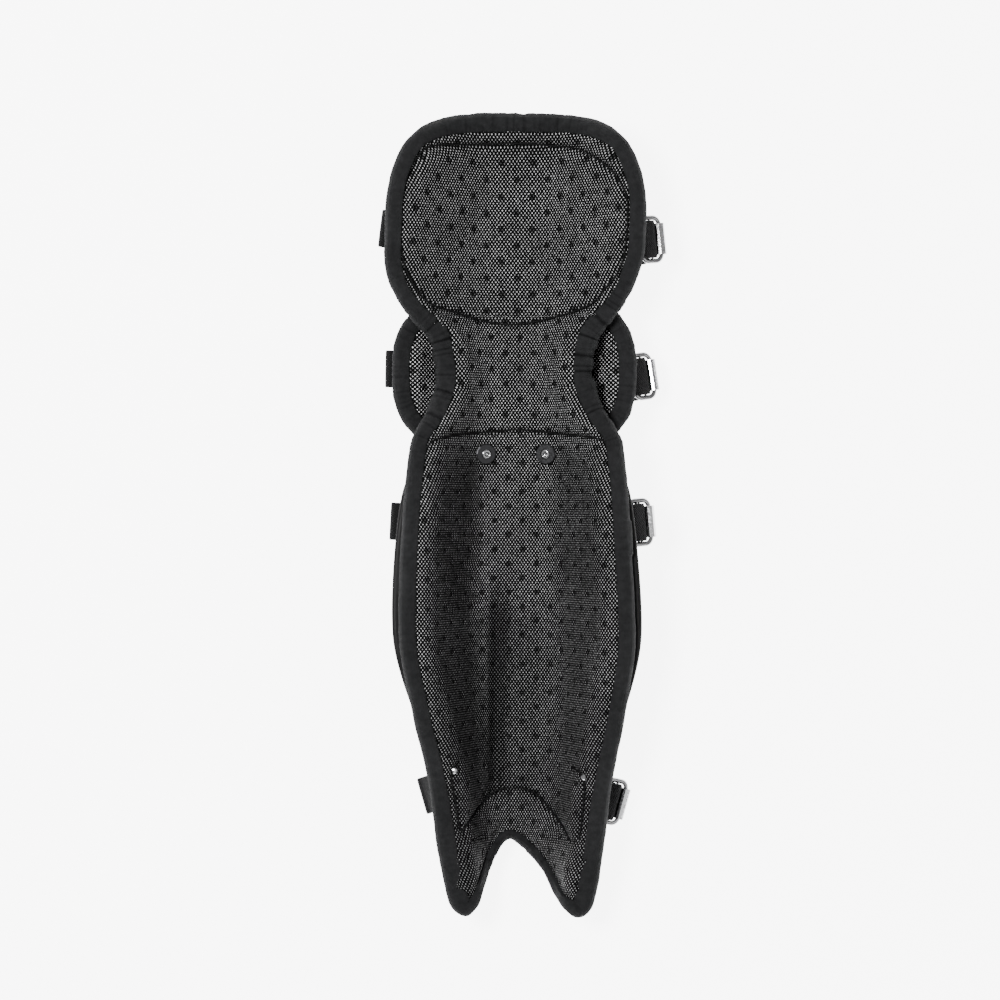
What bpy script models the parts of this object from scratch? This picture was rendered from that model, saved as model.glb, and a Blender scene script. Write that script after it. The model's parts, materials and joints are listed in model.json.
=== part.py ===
"""An umpire's leg guard, lying on its hard front with the padded hollow for the leg facing up.

+Y runs from the foot to the knee, +X to the right as the wearer's side of the guard is seen,
and +Z out of the hollow. Lengths are in metres. The origin is under the middle of the guard,
on the surface that it lies on.
"""

import math
from collections import namedtuple
from functools import lru_cache

import bmesh
import bpy
from mathutils import Matrix, Vector

# Driving sizes of the padded liner
LENGTH = 0.540
KNEE_HALF = 0.0868
RIM_HEIGHT = 0.060
PAD_THICK = 0.012
RIM_THICK = 0.007
PAD_RAMP = 0.010
VALLEY_ROUND = 0.022
SHOULDER_ROUND = 0.015
RIM_FLAT = 0.010
RIM_SLOPE = math.radians(8)

# Tape that binds the liner's edge
BINDING_WIDTH = 0.011
FOOT_BINDING = 0.0075
BINDING_WALL = 0.0012
BINDING_BULGE = 0.0012
BINDING_GAP = 0.0005
# The tables below give the guard's outline, which is the tape's: the lining ends this far inside it
TAPE_OUT = 0.003

# Clearances: between touching pieces, and under pieces that follow a curve with their own facets
TOUCH = 0.0003
SOFT_GAP = 0.0008

# Hard shells. Their ends are rows of the liner's own grid, so that both keep the same facets.
SHELL_THICK = 0.0028
KNEE_SHELL_ROWS = (21, 24)
SHIN_SHELL_ROWS = (4, 15)
INSTEP_SHELL_ROWS = (1, 5)
KNEE_SHELL_INSET = 0.011
INSTEP_SHELL_COLUMNS = slice(3, -3)
INSTEP_FACET_GAP = 0.0014
SHIN_LIP = 0.0064
SHIN_LIP_Y = 0.213
SHIN_LIP_UP = 0.118
SHIN_LIP_DOWN = 0.084
RIDGE_HEIGHT = 0.0028

# Knee wings: one pad behind the neck of the liner, whose ends show on both sides
WING_Y = 0.3675
WING_HALF = 0.0792
WING_HALF_HEIGHT = 0.0478
WING_RIM = 0.027
WING_FLOOR = -0.0068
WING_FLAT = 0.0230
WING_THICK = 0.007
WING_RIM_THICK = 0.005
WING_BINDING_WIDTH = 0.009
WING_LEAN = -0.0018
OVAL_END = 0.20
MID_SHELL_INSET = 0.005
MID_TONGUE = ((0.058, 0.040), (0.072, 0.032))

# Straps and their metal
WEB_WIDTH = 0.0250
WEB_THICK = 0.0017
FOLD_RADIUS = 0.0016
BED_GAP = 0.0006
BED_END = 0.004
BED_REACH = 0.62
STRAP_STEPS = 14
FRAME_LENGTH = 0.0325
FRAME_DEPTH = 0.0185
FRAME_THICK = 0.0024
FRAME_BAR = 0.0032
FRAME_TILT = math.radians(30)
CENTRE_BAR = 0.0020
HOOK_RADIUS = 0.0024
HOOK_THICK = 0.0012
HOOK_HALF = 0.0105
HOOK_BASE_HALF = 0.0155
HOOK_SLOT_HALF = 0.0132
HOOK_SLOT = (-0.0175, -0.0130)
HOOK_LENGTH = 0.0200
TAIL_LENGTH = 0.012
TAIL_CLIMB = 0.17
WEAVE = 0.0026
ADJUSTER_FROM_FOLD = 0.0155
RIVET_RADIUS = 0.0045
RIVET_HEIGHT = 0.0020
RIVET_FROM_EDGE = 0.075
WASHER_RADIUS = 0.0072
WASHER_HOLE = 0.0031
WASHER_THICK = 0.0012
WASHER_LIFT = 0.0026
SCREW_RADIUS = 0.0025
ANKLE_RIVET_RADIUS = 0.0022

# Each row is a section of the liner across the leg. along: share of LENGTH from the foot tips.
# half and lean: the half width and the middle's shift to +X, shares of KNEE_HALF. rim and valley:
# heights of the edge and of the middle, shares of RIM_HEIGHT. flat: flat share of the half width.
Section = namedtuple("Section", "along half lean rim valley flat")
SECTIONS = (
    Section(0.031, 0.581, 0.034, 0.44, -0.06, 0.16),
    Section(0.101, 0.650, 0.027, 0.58, -0.02, 0.16),
    Section(0.151, 0.683, 0.025, 0.70, 0.01, 0.16),
    Section(0.200, 0.732, 0.023, 0.82, 0.02, 0.17),
    Section(0.250, 0.800, 0.016, 0.93, 0.02, 0.18),
    Section(0.361, 0.900, 0.000, 1.02, 0.00, 0.20),
    Section(0.472, 0.875, -0.008, 1.00, 0.02, 0.20),
    Section(0.595, 0.808, -0.006, 0.84, 0.17, 0.20),
    Section(0.632, 0.685, -0.010, 0.72, 0.21, 0.18),
    Section(0.677, 0.605, -0.018, 0.64, 0.24, 0.16),
    Section(0.719, 0.640, -0.024, 0.64, 0.24, 0.16),
    Section(0.753, 0.812, -0.036, 0.67, 0.21, 0.16),
    Section(0.792, 0.948, -0.038, 0.73, 0.13, 0.16),
    Section(0.832, 1.000, -0.018, 0.76, 0.05, 0.16),
    Section(0.880, 1.000, -0.008, 0.78, 0.01, 0.16),
    Section(0.918, 0.974, -0.004, 0.78, 0.07, 0.18),
    Section(0.951, 0.904, -0.004, 0.78, 0.23, 0.24),
    Section(0.976, 0.900, -0.004, 0.78, 0.42, 0.30),
    Section(1.000, 0.900, -0.004, 0.76, 0.55, 0.34),
)

# The foot edge: two tips and the arch between them. across: share of the half width at the foot
# corners. up: share of LENGTH.
FootPoint = namedtuple("FootPoint", "across up")
FOOT_EDGE = (
    FootPoint(-1.00, 0.031),
    FootPoint(-0.93, 0.013),
    FootPoint(-0.77, 0.002),
    FootPoint(-0.62, 0.011),
    FootPoint(-0.54, 0.031),
    FootPoint(-0.38, 0.070),
    FootPoint(-0.17, 0.094),
    FootPoint(0.08, 0.080),
    FootPoint(0.33, 0.051),
    FootPoint(0.50, 0.021),
    FootPoint(0.62, 0.008),
    FootPoint(0.79, 0.000),
    FootPoint(0.93, 0.010),
    FootPoint(1.00, 0.031),
)
TOP_EDGE_POWER = 3.5
TOP_EDGE_ROUND = 0.66

# Straps. left and right: where the strap leaves each side, shares of LENGTH. reach: how far its fold
# or metal stands from the middle, shares of KNEE_HALF. turn: how far its ends point up the leg,
# degrees. under: how far its ends lie below the rim, metres. anchor: where its riveted ends lie,
# shares of the half width.
Strap = namedtuple(
    "Strap",
    "name left right left_reach right_reach left_turn right_turn left_under right_under anchor",
)
STRAPS = (
    Strap("knee", 0.860, 0.8485, 1.060, 1.155, 7.0, 5.6, 0.021, 0.031, 0.70),
    Strap("wing", 0.686, 0.680, 1.025, 1.100, 1.0, 9.0, 0.016, 0.027, 0.80),
    Strap("shin", 0.4957, 0.4957, 0.975, 1.067, 3.0, 5.0, 0.017, 0.028, 0.70),
    Strap("ankle", 0.148, 0.137, 0.745, 0.865, -16.0, -15.4, 0.043, 0.046, 0.56),
)

# Metal that holds the lining to the shells: x and y are shares of KNEE_HALF and LENGTH
Fixing = namedtuple("Fixing", "name x y")
SCREWS = (Fixing("left", -0.250, 0.580), Fixing("right", 0.236, 0.580))
ANKLE_RIVETS = (Fixing("left", -0.478, 0.188), Fixing("right", 0.510, 0.180))

# Grid of the liner
INNER_COLUMNS = (0.17, 0.33, 0.47, 0.60, 0.73)
BODY_ROWS = 24
END_FADE = 0.17

Finish = namedtuple("Finish", "colour roughness metallic")
FINISHES = {
    "mesh_lining": Finish((0.045, 0.046, 0.047), 0.9, 0.0),
    "binding_tape": Finish((0.028, 0.029, 0.030), 0.8, 0.0),
    "hard_shell": Finish((0.020, 0.020, 0.021), 0.35, 0.0),
    "webbing": Finish((0.018, 0.018, 0.019), 0.75, 0.0),
    "chrome": Finish((0.62, 0.62, 0.63), 0.2, 1.0),
    "dark_washer": Finish((0.10, 0.10, 0.105), 0.4, 0.8),
}


def smooth_through(points):
    """A smooth curve through (x, y) points that doesn't overshoot between them."""
    xs = [p[0] for p in points]
    ys = [p[1] for p in points]
    rises = [(ys[i + 1] - ys[i]) / (xs[i + 1] - xs[i]) for i in range(len(xs) - 1)]
    slopes = [rises[0]]
    for before, after in zip(rises, rises[1:]):
        same_way = before * after > 0
        slopes.append(2 * before * after / (before + after) if same_way else 0.0)
    slopes.append(rises[-1])

    def value(x):
        x = min(max(x, xs[0]), xs[-1])
        i = max(k for k in range(len(xs) - 1) if xs[k] <= x)
        step = xs[i + 1] - xs[i]
        t = (x - xs[i]) / step
        ease = t * t * (3 - 2 * t)
        bend = slopes[i] * t * (1 - t) ** 2 - slopes[i + 1] * t * t * (1 - t)
        return ys[i] + (ys[i + 1] - ys[i]) * ease + bend * step

    return value


def section_column(name, size, less=0.0):
    return smooth_through([(s.along * LENGTH, getattr(s, name) * size - less) for s in SECTIONS])


side_half = section_column("half", KNEE_HALF, TAPE_OUT)
middle = section_column("lean", KNEE_HALF)
rim_height = section_column("rim", RIM_HEIGHT)
valley_height = section_column("valley", RIM_HEIGHT)
flat_share = section_column("flat", 1.0)
foot_edge = smooth_through([(p.across, p.up * LENGTH + TAPE_OUT) for p in FOOT_EDGE])
FOOT_CORNER = FOOT_EDGE[0].up * LENGTH + TAPE_OUT
TOP_CORNER = SECTIONS[-3].along * LENGTH - TAPE_OUT


def top_edge(across):
    """The knee's rounded top edge, for a share of the half width."""
    round_off = max(0.0, 1 - abs(across) ** TOP_EDGE_POWER) ** TOP_EDGE_ROUND
    return TOP_CORNER + (LENGTH - TAPE_OUT - TOP_CORNER) * round_off


def ease(t):
    t = min(max(t, 0.0), 1.0)
    return t * t * (3 - 2 * t)


@lru_cache(maxsize=None)
def trough_shape(half, rise, flat):
    """Wall angle, rounds and rim angle of a section: a flat, a round, a straight wall, a round, a rim."""
    rim_angle = min(RIM_SLOPE, math.atan(0.5 * rise / half))
    for share in (1.0, 0.85, 0.7, 0.55, 0.4, 0.25):
        low, high = VALLEY_ROUND * share, SHOULDER_ROUND * share
        room = half - flat - RIM_FLAT * math.cos(rim_angle)

        def climb(angle):
            rounds = low * math.sin(angle) + high * (math.sin(angle) - math.sin(rim_angle))
            straight = (room - rounds) / math.cos(angle)
            if straight < 0:
                return None
            turned = low * (1 - math.cos(angle)) + high * (math.cos(rim_angle) - math.cos(angle))
            return turned + straight * math.sin(angle) + RIM_FLAT * math.sin(rim_angle)

        steepest = math.radians(82)
        while steepest > rim_angle and climb(steepest) is None:
            steepest -= math.radians(1)
        if steepest > rim_angle and climb(steepest) >= rise:
            break
    least, most = rim_angle, steepest
    for _ in range(40):
        angle = (least + most) / 2
        if climb(angle) < rise:
            least = angle
        else:
            most = angle
    return angle, low, high, rim_angle


def trough_height(x, half, rise, flat):
    """Height above the valley at a distance x from the middle of a section."""
    angle, low, high, rim_angle = trough_shape(half, rise, flat)
    x = abs(x)
    wall_start = flat + low * math.sin(angle)
    rim_start = half - RIM_FLAT * math.cos(rim_angle)
    wall_end = rim_start - high * (math.sin(angle) - math.sin(rim_angle))
    wall_low = low * (1 - math.cos(angle))
    if x <= flat:
        return 0.0
    if x <= wall_start:
        return low - math.sqrt(low * low - (x - flat) ** 2)
    if x <= wall_end:
        return wall_low + (x - wall_start) * math.tan(angle)
    wall_top = wall_low + (wall_end - wall_start) * math.tan(angle)
    if x <= rim_start:
        centre = rim_start + high * math.sin(rim_angle)
        height = math.sqrt(max(high * high - (x - centre) ** 2, 0.0))
        return wall_top + height - high * math.cos(angle)
    shoulder = wall_top + high * (math.cos(rim_angle) - math.cos(angle))
    return shoulder + (x - rim_start) * math.tan(rim_angle)


@lru_cache(maxsize=None)
def section_at(y):
    half = side_half(y)
    low = valley_height(y)
    return half, middle(y), low, rim_height(y) - low, flat_share(y) * half


def liner_height(x, y):
    """Height of the liner's face, the side that the leg touches."""
    half, centre, low, rise, flat = section_at(round(y, 5))
    return low + trough_height(x - centre, half, rise, flat)


def slope_of(height, x, y):
    step = 0.0006
    along_x = (height(x + step, y) - height(x - step, y)) / (2 * step)
    along_y = (height(x, y + step) - height(x, y - step)) / (2 * step)
    return along_x, along_y


def below(height, x, y, depth):
    """The point at this depth under a surface, square to it."""
    along_x, along_y = slope_of(height, x, y)
    normal = Vector((-along_x, -along_y, 1)).normalized()
    return Vector((x, y, height(x, y))) - normal * depth


def side_distance(x, y):
    return side_half(y) - abs(x - middle(y))


def pad_thickness(distance):
    """Thickness of the liner at a distance from its edge."""
    return RIM_THICK + (PAD_THICK - RIM_THICK) * ease((distance - BINDING_WIDTH) / PAD_RAMP)


def shell_depth(x, y):
    """Depth of a shell's inner face under the liner's face and its binding."""
    bound_edge = RIM_THICK + SOFT_GAP + BINDING_WALL
    return max(pad_thickness(side_distance(x, y)), bound_edge) + SOFT_GAP


def wing_height(x, y):
    """Height of the wing pad's face: a trough of its own, the same all along, under the liner."""
    return WING_FLOOR + trough_height(x - WING_LEAN, WING_HALF, WING_RIM - WING_FLOOR, WING_FLAT)


def ridge(offset, half):
    """Extra depth of the raised rib along the middle of the shells, which keeps to the grid's columns."""
    flat, foot = INNER_COLUMNS[0] * half, INNER_COLUMNS[1] * half
    return RIDGE_HEIGHT * min(max((foot - abs(offset)) / (foot - flat), 0.0), 1.0)


def material(name):
    made = bpy.data.materials.get(name)
    if made is None:
        finish = FINISHES[name]
        made = bpy.data.materials.new(name)
        made.use_nodes = True
        shader = made.node_tree.nodes["Principled BSDF"]
        shader.inputs["Base Color"].default_value = (*finish.colour, 1)
        shader.inputs["Roughness"].default_value = finish.roughness
        shader.inputs["Metallic"].default_value = finish.metallic
        made.diffuse_color = (*finish.colour, 1)
    return made


def add_object(name, mesh, finish, collection, root):
    made = bpy.data.objects.new(name, mesh)
    made.parent = root
    collection.objects.link(made)
    if finish:
        mesh.materials.append(material(finish))
    return made


def split_other_way(i, j, last_row, last_column, closed):
    """Whether a grid's face is split from its second corner, so that a pad and its tape fold alike."""
    if closed:
        return j == last_column
    on_end = i in (0, last_row)
    leaning_corner = (i, j) in ((0, 0), (last_row, last_column))
    return on_end and not leaning_corner


def grid_mesh(name, rows, closed=False):
    """An open surface through rows of points. closed joins the last row to the first."""
    mesh = bpy.data.meshes.new(name)
    work = bmesh.new()
    made = [[work.verts.new(p) for p in row] for row in rows]
    if closed:
        made.append(made[0])
    last_row, last_column = len(made) - 2, len(made[0]) - 2
    for i, (row, after) in enumerate(zip(made, made[1:])):
        for j in range(len(row) - 1):
            a, b, c, d = row[j], row[j + 1], after[j + 1], after[j]
            if split_other_way(i, j, last_row, last_column, closed):
                work.faces.new((a, b, d))
                work.faces.new((b, c, d))
            else:
                work.faces.new((a, b, c))
                work.faces.new((a, c, d))
    bmesh.ops.remove_doubles(work, verts=work.verts, dist=1e-6)
    work.to_mesh(mesh)
    work.free()
    mesh.shade_smooth()
    mesh.set_sharp_from_angle(angle=math.radians(40))
    return mesh


def thicken(made, thickness, outward=False):
    """Gives an open surface its wall: behind its faces, or in front of them."""
    solid = made.modifiers.new("wall", "SOLIDIFY")
    solid.thickness = thickness
    solid.offset = 1 if outward else -1
    solid.use_even_offset = False
    return solid


def liner_columns(half, binding):
    """Shares of the half width for the grid's columns, with one column at the binding's inner edge."""
    edge = 1 - binding / half
    right = [*INNER_COLUMNS, edge, 1.0]
    return [-u for u in reversed(right)] + [0.0] + right


@lru_cache(maxsize=None)
def liner_plan():
    """Plan points of the liner, row by row from the foot edge to the top edge."""
    low, high = FOOT_CORNER, TOP_CORNER
    first, last = low + FOOT_BINDING, high - BINDING_WIDTH
    steps = [first + (last - first) * i / BODY_ROWS for i in range(BODY_ROWS + 1)]
    rows = []
    for y in [low, *steps, high]:
        half = side_half(y)
        row = []
        for across in liner_columns(half, BINDING_WIDTH):
            inset_foot = FOOT_BINDING * (1 + 0.9 * abs(across))
            foot_lift = foot_edge(across) - low
            if y > low:
                foot_lift += (inset_foot - FOOT_BINDING) * (1 - ease((y - first) / 0.03))
            top_lift = top_edge(across) - high
            foot_lift *= 1 - ease((y - first) / (END_FADE * LENGTH))
            top_lift *= 1 - ease((last - y) / (END_FADE * LENGTH))
            row.append((middle(y) + across * half, y + foot_lift + top_lift))
        rows.append(row)
    return rows


def ring_point(rows, i, j, ring):
    """The grid point that lies this many rings in from a point of the grid's edge."""
    row = min(max(i, ring), len(rows) - 1 - ring)
    column = min(max(j, ring), len(rows[0]) - 1 - ring)
    return rows[row][column]


def grid_border(rows):
    """Row and column numbers round the edge of a grid, once, anticlockwise from above."""
    last_row, last_column = len(rows) - 1, len(rows[0]) - 1
    border = [(0, j) for j in range(last_column)]
    border += [(i, last_column) for i in range(last_row)]
    border += [(last_row, j) for j in range(last_column, 0, -1)]
    border += [(i, 0) for i in range(last_row, 0, -1)]
    return border


def nodes_of(plan, height):
    """Grid points on a surface, and the normal that the grid has at each."""
    points = [[Vector((x, y, height(x, y))) for x, y in row] for row in plan]
    mesh = grid_mesh("grid", points)
    width = len(plan[0])
    normals = [[mesh.vertices[i * width + j].normal.copy() for j in range(width)] for i in range(len(plan))]
    bpy.data.meshes.remove(mesh)
    return points, normals


def binding_rows(points, normals, rim_thick):
    """Sections of the tape folded over a pad's edge, one for each point of the edge."""
    sections = []
    border = grid_border(points)
    for k, (i, j) in enumerate(border):
        point, normal = points[i][j], normals[i][j]
        in_point, in_normal = ring_point(points, i, j, 1), ring_point(normals, i, j, 1)
        before = border[k - 1]
        after = border[(k + 1) % len(border)]
        run = points[after[0]][after[1]] - points[before[0]][before[1]]
        out = run.cross(normal).normalized()
        edge_top = point + normal * BINDING_GAP + out * SOFT_GAP
        edge_low = point - normal * (rim_thick + SOFT_GAP) + out * SOFT_GAP
        bulge = (edge_top + edge_low) / 2 + out * BINDING_BULGE
        inner_top = in_point + in_normal * BINDING_GAP
        inner_low = in_point - in_normal * (rim_thick + SOFT_GAP)
        sections.append([inner_top, edge_top, bulge, edge_low, inner_low])
    return sections


def add_bound_pad(name, tape_name, plan, height, thickness_at, rim_thick, parts, root):
    """A pad and the tape round its edge. Both follow the same grid, so they never touch."""
    points, normals = nodes_of(plan, height)
    pad = add_object(name, grid_mesh(name, points), "mesh_lining", parts, root)
    wall = thicken(pad, PAD_THICK)
    group = pad.vertex_groups.new(name="thickness")
    width = len(plan[0])
    for i, row in enumerate(plan):
        for j, (x, y) in enumerate(row):
            under_tape = min(i, j, len(plan) - 1 - i, width - 1 - j) < 2
            thickness = rim_thick if under_tape else thickness_at(x, y)
            group.add([i * width + j], thickness / PAD_THICK, "REPLACE")
    wall.vertex_group = group.name
    sections = binding_rows(points, normals, rim_thick)
    tape = add_object(tape_name, grid_mesh(tape_name, sections, True), "binding_tape", parts, root)
    thicken(tape, BINDING_WALL, outward=True)


def liner_thickness(x, y):
    return pad_thickness(side_distance(x, y))


def add_liner(parts, root):
    add_bound_pad(
        "liner_pad",
        "liner_binding",
        liner_plan(),
        liner_height,
        liner_thickness,
        RIM_THICK,
        parts,
        root,
    )


def oval_plan(centre_x, centre_y, half, half_height, inset, rows, columns, power=2.6, corner=0.20):
    """Plan points of a wide rounded shape, with one ring of points at the inset from its edge."""

    def half_at(share):
        return half * max(1 - abs(share) ** power, OVAL_END) ** corner

    edge = 1 - inset / half_height
    ys = [edge * (2 * i / rows - 1) for i in range(rows + 1)]
    plan = []
    for share in [-1.0, *ys, 1.0]:
        width = half_at(share)
        in_edge = 1 - inset / half
        us = [in_edge * (2 * j / columns - 1) for j in range(columns + 1)]
        plan.append([(centre_x + u * width, centre_y + share * half_height) for u in [-1.0, *us, 1.0]])
    return plan


def wing_plan():
    return oval_plan(WING_LEAN, WING_Y, WING_HALF, WING_HALF_HEIGHT, WING_BINDING_WIDTH, 7, 12)


def wing_thickness(x, y):
    return WING_THICK


def add_wings(parts, root):
    add_bound_pad(
        "wing_pad",
        "wing_binding",
        wing_plan(),
        wing_height,
        wing_thickness,
        WING_RIM_THICK,
        parts,
        root,
    )


def inset_outer_columns(points, normals, share_at):
    """Rows of a grid whose outer columns are moved along their last facets, by a share of them."""
    moved_points, moved_normals = [], []
    for row, up in zip(points, normals):
        share = share_at(row[0].y)
        ends = [row[1].lerp(row[0], share)], [row[-2].lerp(row[-1], share)]
        up_share = min(share, 1.0)
        up_ends = [up[1].lerp(up[0], up_share)], [up[-2].lerp(up[-1], up_share)]
        moved_points.append([*ends[0], *row[1:-1], *ends[1]])
        moved_normals.append([*up_ends[0], *up[1:-1], *up_ends[1]])
    return moved_points, moved_normals


def add_shell_on_liner(name, span, half_at, depth, parts, root, columns=slice(None)):
    """A shell on part of the liner's own grid, with its outer columns moved to another half width."""

    def share_at(y):
        return (half_at(y) - side_half(y)) / BINDING_WIDTH + 1

    points, normals = nodes_of(liner_plan(), liner_height)
    rows = []
    for row, up in zip(*inset_outer_columns(points, normals, share_at)):
        rows.append([p - n * depth(p.x, p.y) for p, n in zip(row[columns], up[columns])])
    shell = add_object(name, grid_mesh(name, rows[span[0] : span[1] + 1]), "hard_shell", parts, root)
    thicken(shell, SHELL_THICK)


def shell_on_liner_depth(x, y):
    return shell_depth(x, y) + ridge(x - middle(y), side_half(y))


def add_knee_shell(parts, root):
    def half_at(y):
        return side_half(y) - KNEE_SHELL_INSET

    add_shell_on_liner("knee_shell", KNEE_SHELL_ROWS, half_at, shell_on_liner_depth, parts, root)


def shin_shell_half(y):
    """The shin shell stands a little past the liner along the calf, and tucks in at its ends."""
    span = SHIN_LIP_UP if y > SHIN_LIP_Y else SHIN_LIP_DOWN
    return side_half(y) + SHIN_LIP * max(1 - ((y - SHIN_LIP_Y) / span) ** 2, -0.4)


def add_shin_shell(parts, root):
    add_shell_on_liner("shin_shell", SHIN_SHELL_ROWS, shin_shell_half, shell_on_liner_depth, parts, root)


def instep_depth(x, y):
    return shell_on_liner_depth(x, y) + SHELL_THICK + 2 * SOFT_GAP


def add_instep_shell(parts, root):
    add_shell_on_liner(
        "instep_shell", INSTEP_SHELL_ROWS, side_half, instep_depth, parts, root, INSTEP_SHELL_COLUMNS
    )


def mid_depth(x, y):
    bound_edge = WING_RIM_THICK + SOFT_GAP + BINDING_WALL
    return max(WING_THICK, bound_edge) + 2 * SOFT_GAP + ridge(x - WING_LEAN, WING_HALF)


def tongue_row(y, half):
    """A row of the mid shell beyond the wing pad, where it laps over the next shell."""
    columns = len(wing_plan()[0]) - 1
    row = []
    for j in range(columns + 1):
        x = WING_LEAN + half * (2 * j / columns - 1)
        row.append(below(wing_height, x, y, mid_depth(x, y) + SOFT_GAP))
    return row


def add_mid_shell(parts, root):
    points, normals = nodes_of(wing_plan(), wing_height)
    share = 1 - MID_SHELL_INSET / WING_BINDING_WIDTH
    moved = inset_outer_columns(points, normals, lambda y: share)
    rows = [[p - n * mid_depth(p.x, p.y) for p, n in zip(row, up)] for row, up in zip(*moved)]
    low = [tongue_row(WING_Y - away, half) for away, half in reversed(MID_TONGUE)]
    high = [tongue_row(WING_Y + away, half) for away, half in MID_TONGUE]
    shell = add_object("mid_shell", grid_mesh("mid_shell", [*low, *rows, *high]), "hard_shell", parts, root)
    thicken(shell, SHELL_THICK)


def ribbon(name, rows, thickness, finish, parts, root, outward=False):
    """A flat band through rows of points, each row running across the band."""
    made = add_object(name, grid_mesh(name, rows), finish, parts, root)
    thicken(made, thickness, outward)
    return made


def resample(points, count):
    """count points spread evenly along a polyline."""
    lengths = [0.0]
    for a, b in zip(points, points[1:]):
        lengths.append(lengths[-1] + (b - a).length)
    out = []
    for k in range(count):
        target = lengths[-1] * k / (count - 1)
        i = max(n for n in range(len(lengths) - 1) if lengths[n] <= target + 1e-12)
        span = lengths[i + 1] - lengths[i]
        out.append(points[i].lerp(points[i + 1], (target - lengths[i]) / span))
    return out


def hull_below(points):
    """The taut line under a row of points, from the first to the last, seen along the leg."""
    hull = []
    for p in sorted(points, key=lambda q: q.x):
        while len(hull) > 1:
            a, b = hull[-2], hull[-1]
            if (b.x - a.x) * (p.z - a.z) - (b.z - a.z) * (p.x - a.x) > 0:
                break
            hull.pop()
        hull.append(p)
    return hull


def shell_under(strap, x, y, extra=0.0):
    """The point just outside the hard shell that a strap lies on."""
    clear = SHELL_THICK + SOFT_GAP + extra
    if strap.name == "wing":
        return below(wing_height, x, y, mid_depth(x, y) + clear + SOFT_GAP)
    if strap.name == "ankle":
        return below(liner_height, x, y, instep_depth(x, y) + clear + INSTEP_FACET_GAP)
    return below(liner_height, x, y, shell_on_liner_depth(x, y) + clear)


def strap_side(strap, y):
    """Middle and half width of what a strap is fastened to."""
    if strap.name == "wing":
        return WING_LEAN, WING_HALF
    return middle(y), side_half(y)


def end_frame(strap, side):
    """Matrix at the outer end of a strap: local X points out from the guard, local Z up."""
    y = (strap.right if side > 0 else strap.left) * LENGTH
    reach = strap.right_reach if side > 0 else -strap.left_reach
    turn = strap.right_turn if side > 0 else -strap.left_turn
    rim = WING_RIM if strap.name == "wing" else rim_height(y)
    under = strap.right_under if side > 0 else strap.left_under
    place = Matrix.Translation((reach * KNEE_HALF, y, rim - under))
    spin = Matrix.Rotation(math.radians(turn), 4, "Z")
    return place @ spin @ Matrix.Rotation(0 if side > 0 else math.pi, 4, "Z")


def metal_frame_matrix(strap):
    """The three-bar frame's own matrix, at the middle of its outer bar and tilted down outward."""
    bar = Matrix.Translation((-HOOK_RADIUS - HOOK_THICK, 0, 0))
    return end_frame(strap, 1) @ bar @ Matrix.Rotation(FRAME_TILT, 4, "Y")


def strap_line(strap, x):
    """Where a strap's middle line lies along the leg, and which way it turns, at a point across it."""
    left, right = -strap.left_reach * KNEE_HALF, strap.right_reach * KNEE_HALF
    slopes = -math.tan(math.radians(strap.left_turn)), math.tan(math.radians(strap.right_turn))
    low, high = strap.left * LENGTH, strap.right * LENGTH
    span = right - left
    t = min(max((x - left) / span, 0.0), 1.0)
    bend = slopes[0] * t * (1 - t) ** 2 - slopes[1] * t * t * (1 - t)
    slope = 6 * (high - low) / span * t * (1 - t)
    slope += slopes[0] * (1 - t) * (1 - 3 * t) + slopes[1] * t * (3 * t - 2)
    return low + (high - low) * ease(t) + bend * span, math.atan(slope)


def on_strap(strap, share, across):
    """A plan point of a strap: a share of the half width from the middle, and across from its line."""
    centre, half = strap_side(strap, (strap.left + strap.right) * LENGTH / 2)
    x = centre + share * half
    y, turn = strap_line(strap, x)
    return x - across * math.sin(turn), y + across * math.cos(turn)


def strap_bed(strap, edge, count=17):
    """Points of the shell's outside across the leg, at one edge of a strap."""
    points = []
    for k in range(count):
        x, y = on_strap(strap, BED_REACH * (2 * k / (count - 1) - 1), edge * WEB_WIDTH / 2)
        points.append(shell_under(strap, x, y, BED_GAP))
    return points


def hook_matrix(strap):
    """The hook's matrix: at the middle of the outer bar, with local X away from the strap's pull."""
    bar = metal_frame_matrix(strap).translation
    taut = hull_below([*strap_bed(strap, 0), bar])
    out = (taut[-1] - taut[-2]).normalized()
    along = (end_frame(strap, 1).to_3x3() @ Vector((0, 1, 0))).normalized()
    out = (out - along * out.dot(along)).normalized()
    turned = Matrix((out, along, out.cross(along))).transposed().to_4x4()
    return Matrix.Translation(bar) @ turned


def arc(centre_x, centre_z, radius, start, end, steps):
    """Points on an arc in the local XZ plane, angles in degrees from +X."""
    points = []
    for k in range(steps + 1):
        angle = math.radians(start + (end - start) * k / steps)
        points.append((centre_x + radius * math.cos(angle), centre_z + radius * math.sin(angle)))
    return points


def placed(matrix, outline, across):
    return [matrix @ Vector((x, across, z)) for x, z in outline]


def hook_end_outline():
    """The strap's end round the hook's inner bar, and its tail, in the hook's XZ plane."""
    low = -HOOK_RADIUS - HOOK_THICK - TOUCH
    high = -HOOK_RADIUS + TOUCH
    inner = HOOK_SLOT[0]
    turn = arc(inner, (low + high) / 2, (high - low) / 2, -90, 90, 4)
    tail_start = -HOOK_LENGTH - 2 * WEB_THICK
    tail_low = low + 2 * TOUCH + TAIL_CLIMB * WEB_THICK
    tail_high = tail_low + TAIL_CLIMB * TAIL_LENGTH
    tail = [(-HOOK_LENGTH, high), (tail_start, tail_low), (tail_start - TAIL_LENGTH, tail_high)]
    return [(-HOOK_LENGTH - WEB_THICK, low), *turn, *tail]


def anchor_point(strap, side, share, across, extra):
    """A point outside the shell at a share of its half width, and across from the strap's middle line."""
    x, y = on_strap(strap, side * share, across)
    return shell_under(strap, x, y, extra)


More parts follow.
